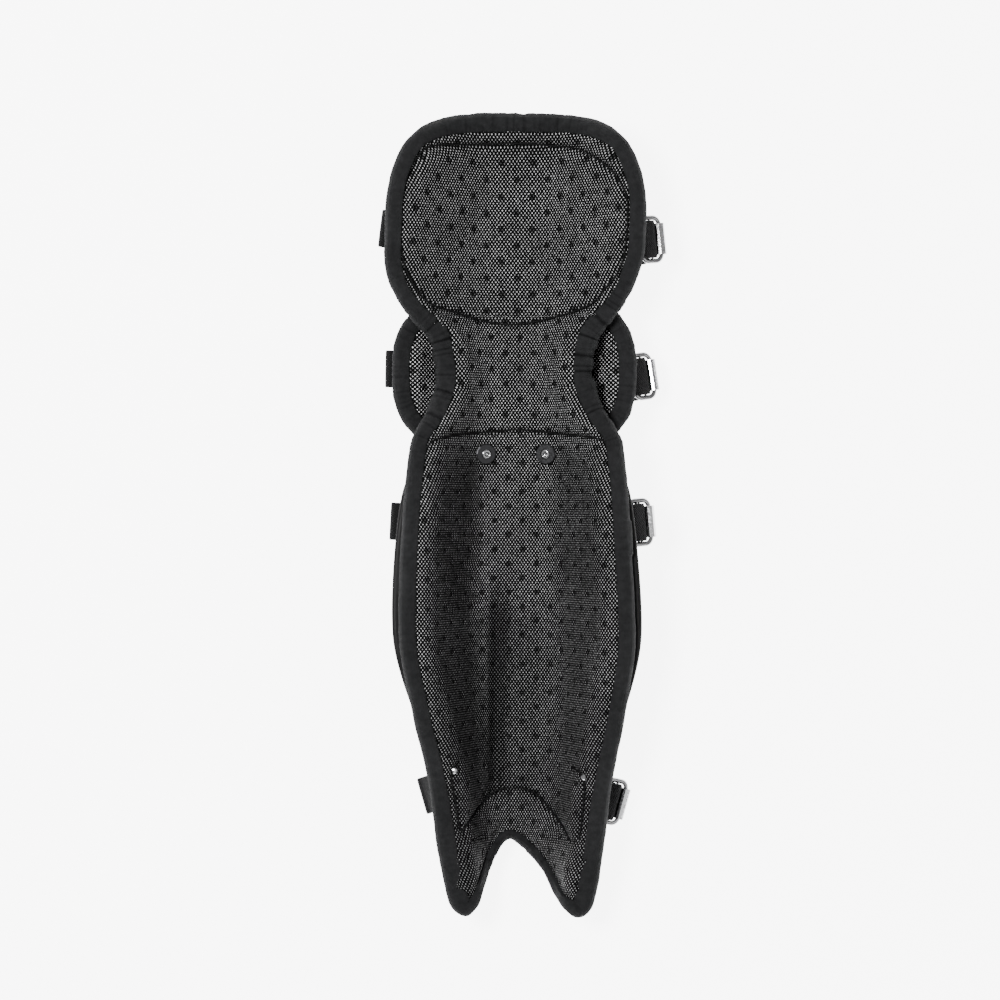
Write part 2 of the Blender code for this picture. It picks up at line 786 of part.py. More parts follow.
def anchor_run(strap, side, across):
    """The riveted end of a strap or tab on the shell's wall, from its end to the shell's edge."""
    shares = (strap.anchor - 2 * RIVET_FROM_EDGE, strap.anchor - RIVET_FROM_EDGE, strap.anchor)
    return [anchor_point(strap, side, share, across, WEB_THICK) for share in shares]


def weave_bends():
    """Distance from the adjuster's middle and rise of the strap there, over and under its three bars."""
    bar = FRAME_DEPTH / 2 - FRAME_BAR / 2
    over = FRAME_BAR / 2 + TOUCH
    half = [(CENTRE_BAR / 2 + TOUCH, WEAVE), (bar - over, -WEAVE), (bar + over, -WEAVE), (1.55 * bar, 0.0)]
    return [*reversed(half), *[(-along, rise) for along, rise in half]]


def taut_run(strap, edge):
    """The taut stretch of a strap's edge, from the left fold to the hook's inner bar."""
    fold = end_frame(strap, -1)
    across = edge * WEB_WIDTH / 2
    fold_low = fold @ Vector((-FOLD_RADIUS - WEB_THICK, -across, -2 * FOLD_RADIUS))
    hook_start = hook_matrix(strap) @ Vector((hook_end_outline()[0][0], across, hook_end_outline()[0][1]))
    bed = [p for p in strap_bed(strap, edge) if p.x < hook_start.x - BED_END]
    return hull_below([fold_low, *bed, hook_start])


def strap_rows(strap):
    """The strap's inner face: from its riveted end on the left, round its fold, to its hook."""
    fold = end_frame(strap, -1)
    turn = arc(-FOLD_RADIUS - WEB_THICK, -FOLD_RADIUS, FOLD_RADIUS, 90, -70, 4)
    columns = []
    for edge in (-1, 0, 1):
        across = edge * WEB_WIDTH / 2
        bends = placed(adjuster_matrix(strap), weave_bends(), -across)
        past_adjuster = [p for p in taut_run(strap, edge) if p.x > bends[-1].x + BED_END]
        taut = resample(past_adjuster, STRAP_STEPS)
        end = placed(hook_matrix(strap), hook_end_outline()[1:], across)
        columns.append([*anchor_run(strap, -1, across), *placed(fold, turn, -across), *bends, *taut, *end])
    return list(zip(*columns))


def tab_rows(strap):
    """The tab's inner face: from its riveted end on the shell, round the frame's centre bar."""
    frame = metal_frame_matrix(strap)
    bar = -FRAME_DEPTH / 2 + FRAME_BAR / 2
    clear = FRAME_THICK / 2 + SOFT_GAP
    inner = -FRAME_DEPTH + FRAME_BAR / 2 - clear
    outline = [(inner, clear), *arc(bar, 0, clear, 90, -90, 4), (inner + FRAME_BAR, -clear)]
    columns = []
    for edge in (1, 0, -1):
        across = edge * WEB_WIDTH / 2
        columns.append([*anchor_run(strap, 1, across), *placed(frame, outline, across)])
    return list(zip(*columns))


def frame_plate(name, matrix, parts, root):
    """A flat three-bar frame with rounded corners. Local X runs from its outer bar's middle inward."""
    half = FRAME_LENGTH / 2
    out, inner = FRAME_BAR / 2, FRAME_BAR / 2 - FRAME_DEPTH
    middle_x = (out + inner) / 2
    xs = [inner, inner + FRAME_BAR, middle_x - CENTRE_BAR / 2, middle_x + CENTRE_BAR / 2, out - FRAME_BAR, out]
    ys = [-half, -half + FRAME_BAR, half - FRAME_BAR, half]
    windows = ((1, 1), (3, 1))
    mesh = bpy.data.meshes.new(name)
    work = bmesh.new()
    grid = {(i, j): work.verts.new((xs[i], ys[j], 0)) for i in range(6) for j in range(4)}
    for i, j in ((0, 0), (5, 0), (5, 3), (0, 3)):
        corner = grid[i, j].co
        corner.x -= math.copysign(FRAME_BAR * 0.3, corner.x - middle_x)
        corner.y -= math.copysign(FRAME_BAR * 0.3, corner.y)
    for i in range(5):
        for j in range(3):
            if (i, j) not in windows:
                work.faces.new((grid[i, j], grid[i + 1, j], grid[i + 1, j + 1], grid[i, j + 1]))
    work.to_mesh(mesh)
    work.free()
    plate = add_object(name, mesh, "chrome", parts, root)
    plate.matrix_local = matrix
    wall = thicken(plate, FRAME_THICK)
    wall.offset = 0


def add_hook(strap, parts, root):
    """A flat hook: its mouth round the frame's outer bar, its slot round the strap's end."""
    mouth = arc(0, 0, HOOK_RADIUS, 150, -90, 9)
    outline = [*mouth, (-0.0085, -HOOK_RADIUS), (HOOK_SLOT[1], -HOOK_RADIUS)]
    outline += [(HOOK_SLOT[0], -HOOK_RADIUS), (-HOOK_LENGTH, -HOOK_RADIUS)]
    name = f"hook_{strap.name}"
    mesh = bpy.data.meshes.new(name)
    work = bmesh.new()
    rows = []
    for k, (x, z) in enumerate(outline):
        half = HOOK_HALF if k < len(mouth) + 1 else HOOK_BASE_HALF
        side = HOOK_BASE_HALF - HOOK_SLOT_HALF
        ys = (-half, -half + side, half - side, half)
        rows.append([work.verts.new((x, y, z)) for y in ys])
    slot_row = len(outline) - 3
    for k, (row, after) in enumerate(zip(rows, rows[1:])):
        for j in range(3):
            if (k, j) != (slot_row, 1):
                work.faces.new((row[j], row[j + 1], after[j + 1], after[j]))
    work.to_mesh(mesh)
    work.free()
    hook = add_object(name, mesh, "chrome", parts, root)
    hook.matrix_local = hook_matrix(strap)
    thicken(hook, HOOK_THICK)


def adjuster_matrix(strap):
    """Matrix on the taut strap by its left fold: local X toward the fold, local Z up."""
    taut = taut_run(strap, 0)
    run = (taut[1] - taut[0]).normalized()
    along = (end_frame(strap, -1).to_3x3() @ Vector((0, 1, 0))).normalized()
    out = -(run - along * run.dot(along)).normalized()
    turned = Matrix((out, along, out.cross(along))).transposed().to_4x4()
    return Matrix.Translation(taut[0] - out * ADJUSTER_FROM_FOLD) @ turned


def disc(name, matrix, outline, finish, parts, root, segments=12):
    """A round solid, turned from an outline of (radius, height) points."""
    mesh = bpy.data.meshes.new(name)
    work = bmesh.new()
    verts = [work.verts.new((r, 0, z)) for r, z in outline]
    edges = [work.edges.new(pair) for pair in zip(verts, verts[1:])]
    bmesh.ops.spin(
        work,
        geom=verts + edges,
        axis=(0, 0, 1),
        cent=(0, 0, 0),
        steps=segments,
        angle=2 * math.pi,
        use_merge=True,
    )
    bmesh.ops.remove_doubles(work, verts=work.verts, dist=1e-6)
    bmesh.ops.recalc_face_normals(work, faces=work.faces)
    work.to_mesh(mesh)
    work.free()
    mesh.shade_smooth()
    mesh.set_sharp_from_angle(angle=math.radians(35))
    made = add_object(name, mesh, finish, parts, root)
    made.matrix_local = matrix


def facing(point, normal):
    return Matrix.Translation(point) @ normal.to_track_quat("Z", "Y").to_matrix().to_4x4()


def dome(radius, height):
    return [(0, 0), (radius * 0.96, 0), (radius, height * 0.25), (radius * 0.62, height * 0.85), (0, height)]


def add_strap_metal(parts, root):
    for strap in STRAPS:
        frame_plate(f"frame_{strap.name}", metal_frame_matrix(strap), parts, root)
        add_hook(strap, parts, root)
        shift = Matrix.Translation((FRAME_DEPTH / 2 - FRAME_BAR / 2, 0, -WEB_THICK / 2))
        frame_plate(f"adjuster_{strap.name}", adjuster_matrix(strap) @ shift, parts, root)
        for side, name in ((-1, "strap_rivet"), (1, "tab_rivet")):
            share = strap.anchor - RIVET_FROM_EDGE
            inner = anchor_point(strap, side, share, 0, 0)
            outer = anchor_point(strap, side, share, 0, WEB_THICK + SOFT_GAP)
            matrix = facing(outer, (outer - inner).normalized())
            disc(f"{name}_{strap.name}", matrix, dome(RIVET_RADIUS, RIVET_HEIGHT), "chrome", parts, root)


def add_straps(parts, root):
    for strap in STRAPS:
        ribbon(f"strap_{strap.name}", strap_rows(strap), WEB_THICK, "webbing", parts, root, True)
        ribbon(f"tab_{strap.name}", tab_rows(strap), WEB_THICK, "webbing", parts, root, True)


def add_fixings(parts, root):
    for fixing in SCREWS:
        x, y = fixing.x * KNEE_HALF, fixing.y * LENGTH
        low = below(liner_height, x, y, -WASHER_LIFT)
        matrix = facing(low, (low - below(liner_height, x, y, 0)).normalized())
        ring = [
            (WASHER_HOLE, 0),
            (WASHER_RADIUS, 0),
            (WASHER_RADIUS, WASHER_THICK * 0.6),
            (WASHER_RADIUS * 0.9, WASHER_THICK),
            (WASHER_HOLE, WASHER_THICK),
            (WASHER_HOLE, 0),
        ]
        disc(f"washer_{fixing.name}", matrix, ring, "dark_washer", parts, root, 16)
        disc(f"screw_{fixing.name}", matrix, dome(SCREW_RADIUS, 2 * WASHER_THICK), "chrome", parts, root)
    for fixing in ANKLE_RIVETS:
        x, y = fixing.x * KNEE_HALF, fixing.y * LENGTH
        foot = below(liner_height, x, y, -TOUCH)
        matrix = facing(foot, (foot - below(liner_height, x, y, 0)).normalized())
        disc(f"ankle_rivet_{fixing.name}", matrix, dome(ANKLE_RIVET_RADIUS, 0.0012), "chrome", parts, root)


def rest_on_floor(parts, root):
    """Moves the whole guard so that the origin is under the middle of its box, on the floor."""
    bpy.context.view_layer.update()
    graph = bpy.context.evaluated_depsgraph_get()
    corners = []
    for made in parts.objects:
        if made.type == "MESH":
            shown = made.evaluated_get(graph)
            mesh = shown.to_mesh()
            corners += [shown.matrix_world @ v.co for v in mesh.vertices]
            shown.to_mesh_clear()
    low = [min(c[k] for c in corners) for k in range(3)]
    high = [max(c[k] for c in corners) for k in range(3)]
    root.location = (-(low[0] + high[0]) / 2, -(low[1] + high[1]) / 2, -low[2])
    bpy.context.view_layer.update()


def main():
    for made in list(bpy.data.objects):
        bpy.data.objects.remove(made)
    parts = bpy.data.collections.new("leg_guard")
    bpy.context.scene.collection.children.link(parts)
    root = bpy.data.objects.new("leg_guard_origin", None)
    parts.objects.link(root)
    add_liner(parts, root)
    add_wings(parts, root)
    add_knee_shell(parts, root)
    add_mid_shell(parts, root)
    add_shin_shell(parts, root)
    add_instep_shell(parts, root)
    add_straps(parts, root)
    add_strap_metal(parts, root)
    add_fixings(parts, root)
    rest_on_floor(parts, root)


main()
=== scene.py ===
"""Looks of the umpire's leg guard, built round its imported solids.

The guard lies on its hard front with the padded hollow up. +Y runs from the foot to the knee. The shape
functions are the part's own, in metres from the foot tips; SHIFT carries them to the row's frame.
"""

import json
import math
from collections import namedtuple
from functools import lru_cache

import bmesh
import bpy
import numpy as np
from mathutils import Matrix, Vector, kdtree, noise

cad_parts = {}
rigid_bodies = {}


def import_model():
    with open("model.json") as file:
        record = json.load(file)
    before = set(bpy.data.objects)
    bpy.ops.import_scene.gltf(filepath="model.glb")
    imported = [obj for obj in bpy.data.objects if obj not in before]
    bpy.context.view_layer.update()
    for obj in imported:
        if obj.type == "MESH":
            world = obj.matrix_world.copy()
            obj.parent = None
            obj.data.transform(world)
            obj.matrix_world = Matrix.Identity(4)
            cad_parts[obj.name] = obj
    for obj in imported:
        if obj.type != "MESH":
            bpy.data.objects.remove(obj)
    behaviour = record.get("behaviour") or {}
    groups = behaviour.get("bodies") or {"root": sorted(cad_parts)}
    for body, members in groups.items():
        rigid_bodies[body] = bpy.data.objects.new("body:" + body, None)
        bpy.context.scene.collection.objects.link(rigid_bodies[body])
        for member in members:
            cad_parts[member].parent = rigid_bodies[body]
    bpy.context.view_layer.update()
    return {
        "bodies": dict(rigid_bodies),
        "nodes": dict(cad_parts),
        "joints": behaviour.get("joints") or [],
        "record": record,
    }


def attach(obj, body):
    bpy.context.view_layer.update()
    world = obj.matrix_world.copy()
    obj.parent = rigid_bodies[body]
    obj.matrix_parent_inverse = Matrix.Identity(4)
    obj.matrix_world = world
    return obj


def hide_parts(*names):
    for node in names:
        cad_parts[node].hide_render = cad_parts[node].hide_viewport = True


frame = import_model()

SHIFT = Vector((-0.0038583, -0.2718385, 0.0270160))

# Driving sizes of the padded liner
LENGTH = 0.540
KNEE_HALF = 0.0868
RIM_HEIGHT = 0.060
PAD_THICK = 0.012
RIM_THICK = 0.007
PAD_RAMP = 0.010
VALLEY_ROUND = 0.022
SHOULDER_ROUND = 0.015
RIM_FLAT = 0.010
RIM_SLOPE = math.radians(8)
# How far the curves of its foot and top edges reach into it, a share of LENGTH
END_FADE = 0.17

# Tape that binds the liner's edge
BINDING_WIDTH = 0.011
FOOT_BINDING = 0.0075
BINDING_WALL = 0.0012
# The tables below give the guard's outline, which is the tape's: the lining ends this far inside it
TAPE_OUT = 0.003

# Clearances: between touching pieces, and under pieces that follow a curve with their own facets
TOUCH = 0.0003
SOFT_GAP = 0.0008

# Hard shells. Their ends are rows of the part's grid of the liner, which has PART_ROWS of them.
SHELL_THICK = 0.0028
PART_ROWS = 24
KNEE_SHELL_ROWS = (21, 24)
SHIN_SHELL_ROWS = (4, 15)
INSTEP_SHELL_ROWS = (1, 5)
KNEE_SHELL_INSET = 0.011
INSTEP_FACET_GAP = 0.0014
INSTEP_SHARE = 0.72
SHIN_LIP = 0.0064
SHIN_LIP_Y = 0.213
SHIN_LIP_UP = 0.118
SHIN_LIP_DOWN = 0.084
# The raised rib along a shell's middle: how far its top and its foot reach, shares of the half width
RIDGE_HEIGHT = 0.0028
RIDGE_TOP = 0.17
RIDGE_FOOT = 0.33

# Knee wings: one pad behind the neck of the liner, whose ends show on both sides
WING_Y = 0.3675
WING_HALF = 0.0792
WING_HALF_HEIGHT = 0.0478
WING_RIM = 0.027
WING_FLOOR = -0.0068
WING_FLAT = 0.0230
WING_THICK = 0.007
WING_RIM_THICK = 0.005
WING_BINDING_WIDTH = 0.009
WING_LEAN = -0.0018
OVAL_POWER = 2.6
OVAL_ROUND = 0.20
OVAL_END = 0.20
MID_SHELL_INSET = 0.005
# The middle shell's two tongues, from the middle of the wings: where they start and end, and how wide
TONGUE_START = 0.058
TONGUE_END = 0.072
TONGUE_HALF = 0.032
TONGUE_BLEND = 0.010

# Straps and their metal
WEB_WIDTH = 0.0250
WEB_THICK = 0.0017
FOLD_RADIUS = 0.0016
BED_GAP = 0.0006
BED_END = 0.004
BED_REACH = 0.62
STRAP_STEPS = 14
FRAME_LENGTH = 0.0325
FRAME_DEPTH = 0.0185
FRAME_THICK = 0.0024
FRAME_BAR = 0.0032
FRAME_ROUND = 0.0048
FRAME_TILT = math.radians(30)
CENTRE_BAR = 0.0020
HOOK_RADIUS = 0.0024
HOOK_THICK = 0.0012
HOOK_INNER_BAR = -0.0175
HOOK_LENGTH = 0.0200
TAIL_LENGTH = 0.012
TAIL_CLIMB = 0.17
WEAVE = 0.0026
ADJUSTER_FROM_FOLD = 0.0155
RIVET_FROM_EDGE = 0.075
WASHER_LIFT = 0.0026

# Each row is a section of the liner across the leg. along: share of LENGTH from the foot tips.
# half and lean: the half width and the middle's shift to +X, shares of KNEE_HALF. rim and valley:
# heights of the edge and of the middle, shares of RIM_HEIGHT. flat: flat share of the half width.
Section = namedtuple("Section", "along half lean rim valley flat")
SECTIONS = (
    Section(0.031, 0.581, 0.034, 0.44, -0.06, 0.16),
    Section(0.101, 0.650, 0.027, 0.58, -0.02, 0.16),
    Section(0.151, 0.683, 0.025, 0.70, 0.01, 0.16),
    Section(0.200, 0.732, 0.023, 0.82, 0.02, 0.17),
    Section(0.250, 0.800, 0.016, 0.93, 0.02, 0.18),
    Section(0.361, 0.900, 0.000, 1.02, 0.00, 0.20),
    Section(0.472, 0.875, -0.008, 1.00, 0.02, 0.20),
    Section(0.595, 0.808, -0.006, 0.84, 0.17, 0.20),
    Section(0.632, 0.685, -0.010, 0.72, 0.21, 0.18),
    Section(0.677, 0.605, -0.018, 0.64, 0.24, 0.16),
    Section(0.719, 0.640, -0.024, 0.64, 0.24, 0.16),
    Section(0.753, 0.812, -0.036, 0.67, 0.21, 0.16),
    Section(0.792, 0.948, -0.038, 0.73, 0.13, 0.16),
    Section(0.832, 1.000, -0.018, 0.76, 0.05, 0.16),
    Section(0.880, 1.000, -0.008, 0.78, 0.01, 0.16),
    Section(0.918, 0.974, -0.004, 0.78, 0.07, 0.18),
    Section(0.951, 0.904, -0.004, 0.78, 0.23, 0.24),
    Section(0.976, 0.900, -0.004, 0.78, 0.42, 0.30),
    Section(1.000, 0.900, -0.004, 0.76, 0.55, 0.34),
)

# The foot edge: two tips and the arch between them. across: share of the half width at the foot
# corners. up: share of LENGTH.
FootPoint = namedtuple("FootPoint", "across up")
FOOT_EDGE = (
    FootPoint(-1.00, 0.031),
    FootPoint(-0.93, 0.013),
    FootPoint(-0.77, 0.002),
    FootPoint(-0.62, 0.011),
    FootPoint(-0.54, 0.031),
    FootPoint(-0.38, 0.070),
    FootPoint(-0.17, 0.094),
    FootPoint(0.08, 0.080),
    FootPoint(0.33, 0.051),
    FootPoint(0.50, 0.021),
    FootPoint(0.62, 0.008),
    FootPoint(0.79, 0.000),
    FootPoint(0.93, 0.010),
    FootPoint(1.00, 0.031),
)
TOP_EDGE_POWER = 3.5
TOP_EDGE_ROUND = 0.66

# Straps. left and right: where the strap leaves each side, shares of LENGTH. reach: how far its fold
# or metal stands from the middle, shares of KNEE_HALF. turn: how far its ends point up the leg,
# degrees. under: how far its ends lie below the rim, metres. anchor: where its riveted ends lie,
# shares of the half width.
Strap = namedtuple(
    "Strap",
    "name left right left_reach right_reach left_turn right_turn left_under right_under anchor",
)
STRAPS = (
    Strap("knee", 0.860, 0.8485, 1.060, 1.155, 7.0, 5.6, 0.021, 0.031, 0.70),
    Strap("wing", 0.686, 0.680, 1.025, 1.100, 1.0, 9.0, 0.016, 0.027, 0.80),
    Strap("shin", 0.4957, 0.4957, 0.975, 1.067, 3.0, 5.0, 0.017, 0.028, 0.70),
    Strap("ankle", 0.148, 0.137, 0.745, 0.865, -16.0, -15.4, 0.043, 0.046, 0.56),
)

# Rivets at the top of the shin, in their washers: x and y are shares of KNEE_HALF and LENGTH
Fixing = namedtuple("Fixing", "name x y")
SCREWS = (Fixing("left", -0.250, 0.580), Fixing("right", 0.236, 0.580))


def smooth_through(points):
    """A smooth curve through (x, y) points that doesn't overshoot between them."""
    xs = [p[0] for p in points]
    ys = [p[1] for p in points]
    rises = [(ys[i + 1] - ys[i]) / (xs[i + 1] - xs[i]) for i in range(len(xs) - 1)]
    slopes = [rises[0]]
    for before, after in zip(rises, rises[1:]):
        same_way = before * after > 0
        slopes.append(2 * before * after / (before + after) if same_way else 0.0)
    slopes.append(rises[-1])

    def value(x):
        x = min(max(x, xs[0]), xs[-1])
        i = max(k for k in range(len(xs) - 1) if xs[k] <= x)
        step = xs[i + 1] - xs[i]
        t = (x - xs[i]) / step
        ease = t * t * (3 - 2 * t)
        bend = slopes[i] * t * (1 - t) ** 2 - slopes[i + 1] * t * t * (1 - t)
        return ys[i] + (ys[i + 1] - ys[i]) * ease + bend * step

    return value


def section_column(name, size, less=0.0):
    return smooth_through([(s.along * LENGTH, getattr(s, name) * size - less) for s in SECTIONS])


side_half = section_column("half", KNEE_HALF, TAPE_OUT)
middle = section_column("lean", KNEE_HALF)
rim_height = section_column("rim", RIM_HEIGHT)
valley_height = section_column("valley", RIM_HEIGHT)
flat_share = section_column("flat", 1.0)
foot_edge = smooth_through([(p.across, p.up * LENGTH + TAPE_OUT) for p in FOOT_EDGE])
FOOT_CORNER = FOOT_EDGE[0].up * LENGTH + TAPE_OUT
TOP_CORNER = SECTIONS[-3].along * LENGTH - TAPE_OUT


def top_edge(across):
    """The knee's rounded top edge, for a share of the half width."""
    round_off = max(0.0, 1 - abs(across) ** TOP_EDGE_POWER) ** TOP_EDGE_ROUND
    return TOP_CORNER + (LENGTH - TAPE_OUT - TOP_CORNER) * round_off


def ease(t):
    t = min(max(t, 0.0), 1.0)
    return t * t * (3 - 2 * t)


@lru_cache(maxsize=None)
def trough_shape(half, rise, flat):
    """Wall angle, rounds and rim angle of a section: a flat, a round, a straight wall, a round, a rim."""
    rim_angle = min(RIM_SLOPE, math.atan(0.5 * rise / half))
    for share in (1.0, 0.85, 0.7, 0.55, 0.4, 0.25):
        low, high = VALLEY_ROUND * share, SHOULDER_ROUND * share
        room = half - flat - RIM_FLAT * math.cos(rim_angle)

        def climb(angle):
            rounds = low * math.sin(angle) + high * (math.sin(angle) - math.sin(rim_angle))
            straight = (room - rounds) / math.cos(angle)
            if straight < 0:
                return None
            turned = low * (1 - math.cos(angle)) + high * (math.cos(rim_angle) - math.cos(angle))
            return turned + straight * math.sin(angle) + RIM_FLAT * math.sin(rim_angle)

        steepest = math.radians(82)
        while steepest > rim_angle and climb(steepest) is None:
            steepest -= math.radians(1)
        if steepest > rim_angle and climb(steepest) >= rise:
            break
    least, most = rim_angle, steepest
    for _ in range(40):
        angle = (least + most) / 2
        if climb(angle) < rise:
            least = angle
        else:
            most = angle
    return angle, low, high, rim_angle


def trough_height(x, half, rise, flat):
    """Height above the valley at a distance x from the middle of a section."""
    angle, low, high, rim_angle = trough_shape(half, rise, flat)
    x = abs(x)
    wall_start = flat + low * math.sin(angle)
    rim_start = half - RIM_FLAT * math.cos(rim_angle)
    wall_end = rim_start - high * (math.sin(angle) - math.sin(rim_angle))
    wall_low = low * (1 - math.cos(angle))
    if x <= flat:
        return 0.0
    if x <= wall_start:
        return low - math.sqrt(low * low - (x - flat) ** 2)
    if x <= wall_end:
        return wall_low + (x - wall_start) * math.tan(angle)
    wall_top = wall_low + (wall_end - wall_start) * math.tan(angle)
    if x <= rim_start:
        centre = rim_start + high * math.sin(rim_angle)
        height = math.sqrt(max(high * high - (x - centre) ** 2, 0.0))
        return wall_top + height - high * math.cos(angle)
    shoulder = wall_top + high * (math.cos(rim_angle) - math.cos(angle))
    return shoulder + (x - rim_start) * math.tan(rim_angle)


@lru_cache(maxsize=None)
def section_at(y):
    half = side_half(y)
    low = valley_height(y)
    return half, middle(y), low, rim_height(y) - low, flat_share(y) * half


def below(height, x, y, depth):
    """The point at this depth under a surface, square to it."""
    along_x, along_y = slope_of(height, x, y)
    normal = Vector((-along_x, -along_y, 1)).normalized()
    return Vector((x, y, height(x, y))) - normal * depth


def slope_of(height, x, y):
    step, long_step = 0.0006, 0.006
    along_x = (height(x + step, y) - height(x - step, y)) / (2 * step)
    along_y = (height(x, y + long_step) - height(x, y - long_step)) / (2 * long_step)
    return along_x, along_y


def side_distance(x, y):
    return side_half(y) - abs(x - middle(y))


def pad_thickness(distance):
    """Thickness of the liner at a distance from its edge."""
    return RIM_THICK + (PAD_THICK - RIM_THICK) * ease((distance - BINDING_WIDTH) / PAD_RAMP)


def shell_depth(x, y):
    """Depth of a shell's inner face under the liner's face and its binding."""
    bound_edge = RIM_THICK + SOFT_GAP + BINDING_WALL
    return max(pad_thickness(side_distance(x, y)), bound_edge) + SOFT_GAP


def wing_height(x, y):
    """Height of the wing pad's face: a trough of its own, the same all along, under the liner."""
    return WING_FLOOR + trough_height(x - WING_LEAN, WING_HALF, WING_RIM - WING_FLOOR, WING_FLAT)


def ridge(offset, half):
    """Extra depth of the raised rib along the middle of the shells."""
    top, foot = RIDGE_TOP * half, RIDGE_FOOT * half
    return RIDGE_HEIGHT * ease((foot - abs(offset)) / (foot - top))


def shin_shell_half(y):
    """The shin shell stands a little past the liner along the calf, and tucks in at its ends."""
    span = SHIN_LIP_UP if y > SHIN_LIP_Y else SHIN_LIP_DOWN
    return side_half(y) + SHIN_LIP * max(1 - ((y - SHIN_LIP_Y) / span) ** 2, -0.4)


def shell_on_liner_depth(x, y):
    return shell_depth(x, y) + ridge(x - middle(y), side_half(y))


def instep_depth(x, y):
    return shell_on_liner_depth(x, y) + SHELL_THICK + 2 * SOFT_GAP


def mid_depth(x, y):
    bound_edge = WING_RIM_THICK + SOFT_GAP + BINDING_WALL
    return max(WING_THICK, bound_edge) + 2 * SOFT_GAP + ridge(x - WING_LEAN, WING_HALF)


def hull_below(points):
    """The taut line under a row of points, from the first to the last, seen along the leg."""
    hull = []
    for p in sorted(points, key=lambda q: q.x):
        while len(hull) > 1:
            a, b = hull[-2], hull[-1]
            if (b.x - a.x) * (p.z - a.z) - (b.z - a.z) * (p.x - a.x) > 0:
                break
            hull.pop()
        hull.append(p)
    return hull


def shell_under(strap, x, y, extra=0.0):
    """The point just outside the hard shell that a strap lies on."""
    clear = SHELL_THICK + SOFT_GAP + extra
    if strap.name == "wing":
        return below(wing_height, x, y, mid_depth(x, y) + clear + SOFT_GAP)
    if strap.name == "ankle":
        return below(liner_height, x, y, instep_depth(x, y) + clear + INSTEP_FACET_GAP)
    return below(liner_height, x, y, shell_on_liner_depth(x, y) + clear)


def strap_side(strap, y):
    """Middle and half width of what a strap is fastened to."""
    if strap.name == "wing":
        return WING_LEAN, WING_HALF
    return middle(y), side_half(y)


def end_frame(strap, side):
    """Matrix at the outer end of a strap: local X points out from the guard, local Z up."""
    y = (strap.right if side > 0 else strap.left) * LENGTH
    reach = strap.right_reach if side > 0 else -strap.left_reach
    turn = strap.right_turn if side > 0 else -strap.left_turn
    rim = WING_RIM if strap.name == "wing" else rim_height(y)
    under = strap.right_under if side > 0 else strap.left_under
    place = Matrix.Translation((reach * KNEE_HALF, y, rim - under))
    spin = Matrix.Rotation(math.radians(turn), 4, "Z")
    return place @ spin @ Matrix.Rotation(0 if side > 0 else math.pi, 4, "Z")


def metal_frame_matrix(strap):
    """The three-bar frame's own matrix, at the middle of its outer bar and tilted down outward."""
    bar = Matrix.Translation((-HOOK_RADIUS - HOOK_THICK, 0, 0))
    return end_frame(strap, 1) @ bar @ Matrix.Rotation(FRAME_TILT, 4, "Y")


def strap_line(strap, x):
    """Where a strap's middle line lies along the leg, and which way it turns, at a point across it."""
    left, right = -strap.left_reach * KNEE_HALF, strap.right_reach * KNEE_HALF
    slopes = -math.tan(math.radians(strap.left_turn)), math.tan(math.radians(strap.right_turn))
    low, high = strap.left * LENGTH, strap.right * LENGTH
    span = right - left
    t = min(max((x - left) / span, 0.0), 1.0)
    bend = slopes[0] * t * (1 - t) ** 2 - slopes[1] * t * t * (1 - t)
    slope = 6 * (high - low) / span * t * (1 - t)
    slope += slopes[0] * (1 - t) * (1 - 3 * t) + slopes[1] * t * (3 * t - 2)
    return low + (high - low) * ease(t) + bend * span, math.atan(slope)


def on_strap(strap, share, across):
    """A plan point of a strap: a share of the half width from the middle, and across from its line."""
    centre, half = strap_side(strap, (strap.left + strap.right) * LENGTH / 2)
    x = centre + share * half
    y, turn = strap_line(strap, x)
    return x - across * math.sin(turn), y + across * math.cos(turn)


def strap_bed(strap, edge, count=17):
    """Points of the shell's outside across the leg, at one edge of a strap."""
    points = []
    for k in range(count):
        x, y = on_strap(strap, BED_REACH * (2 * k / (count - 1) - 1), edge * WEB_WIDTH / 2)
        points.append(shell_under(strap, x, y, BED_GAP))
    return points


def hook_matrix(strap):
    """The hook's matrix: at the middle of the outer bar, with local X away from the strap's pull."""
    bar = metal_frame_matrix(strap).translation
    taut = hull_below([*strap_bed(strap, 0), bar])
    out = (taut[-1] - taut[-2]).normalized()
    along = (end_frame(strap, 1).to_3x3() @ Vector((0, 1, 0))).normalized()
    out = (out - along * out.dot(along)).normalized()
    turned = Matrix((out, along, out.cross(along))).transposed().to_4x4()
    return Matrix.Translation(bar) @ turned


def arc(centre_x, centre_z, radius, start, end, steps):
    """Points on an arc in the local XZ plane, angles in degrees from +X."""
    points = []
    for k in range(steps + 1):
        angle = math.radians(start + (end - start) * k / steps)
        points.append((centre_x + radius * math.cos(angle), centre_z + radius * math.sin(angle)))
    return points


def placed(matrix, outline, across):
    return [matrix @ Vector((x, across, z)) for x, z in outline]


def hook_end_outline():
    """The strap's end round the hook's inner bar, and its tail, in the hook's XZ plane."""
    low = -HOOK_RADIUS - HOOK_THICK - TOUCH
    high = -HOOK_RADIUS + TOUCH
    turn = arc(HOOK_INNER_BAR, (low + high) / 2, (high - low) / 2, -90, 90, 4)
    tail_start = -HOOK_LENGTH - 2 * WEB_THICK
    tail_low = low + 2 * TOUCH + TAIL_CLIMB * WEB_THICK
    tail_high = tail_low + TAIL_CLIMB * TAIL_LENGTH
    tail = [(-HOOK_LENGTH, high), (tail_start, tail_low), (tail_start - TAIL_LENGTH, tail_high)]
    return [(-HOOK_LENGTH - WEB_THICK, low), *turn, *tail]


def anchor_point(strap, side, share, across, extra):
    """A point outside the shell at a share of its half width, and across from the strap's middle line."""
    x, y = on_strap(strap, side * share, across)
    return shell_under(strap, x, y, extra)


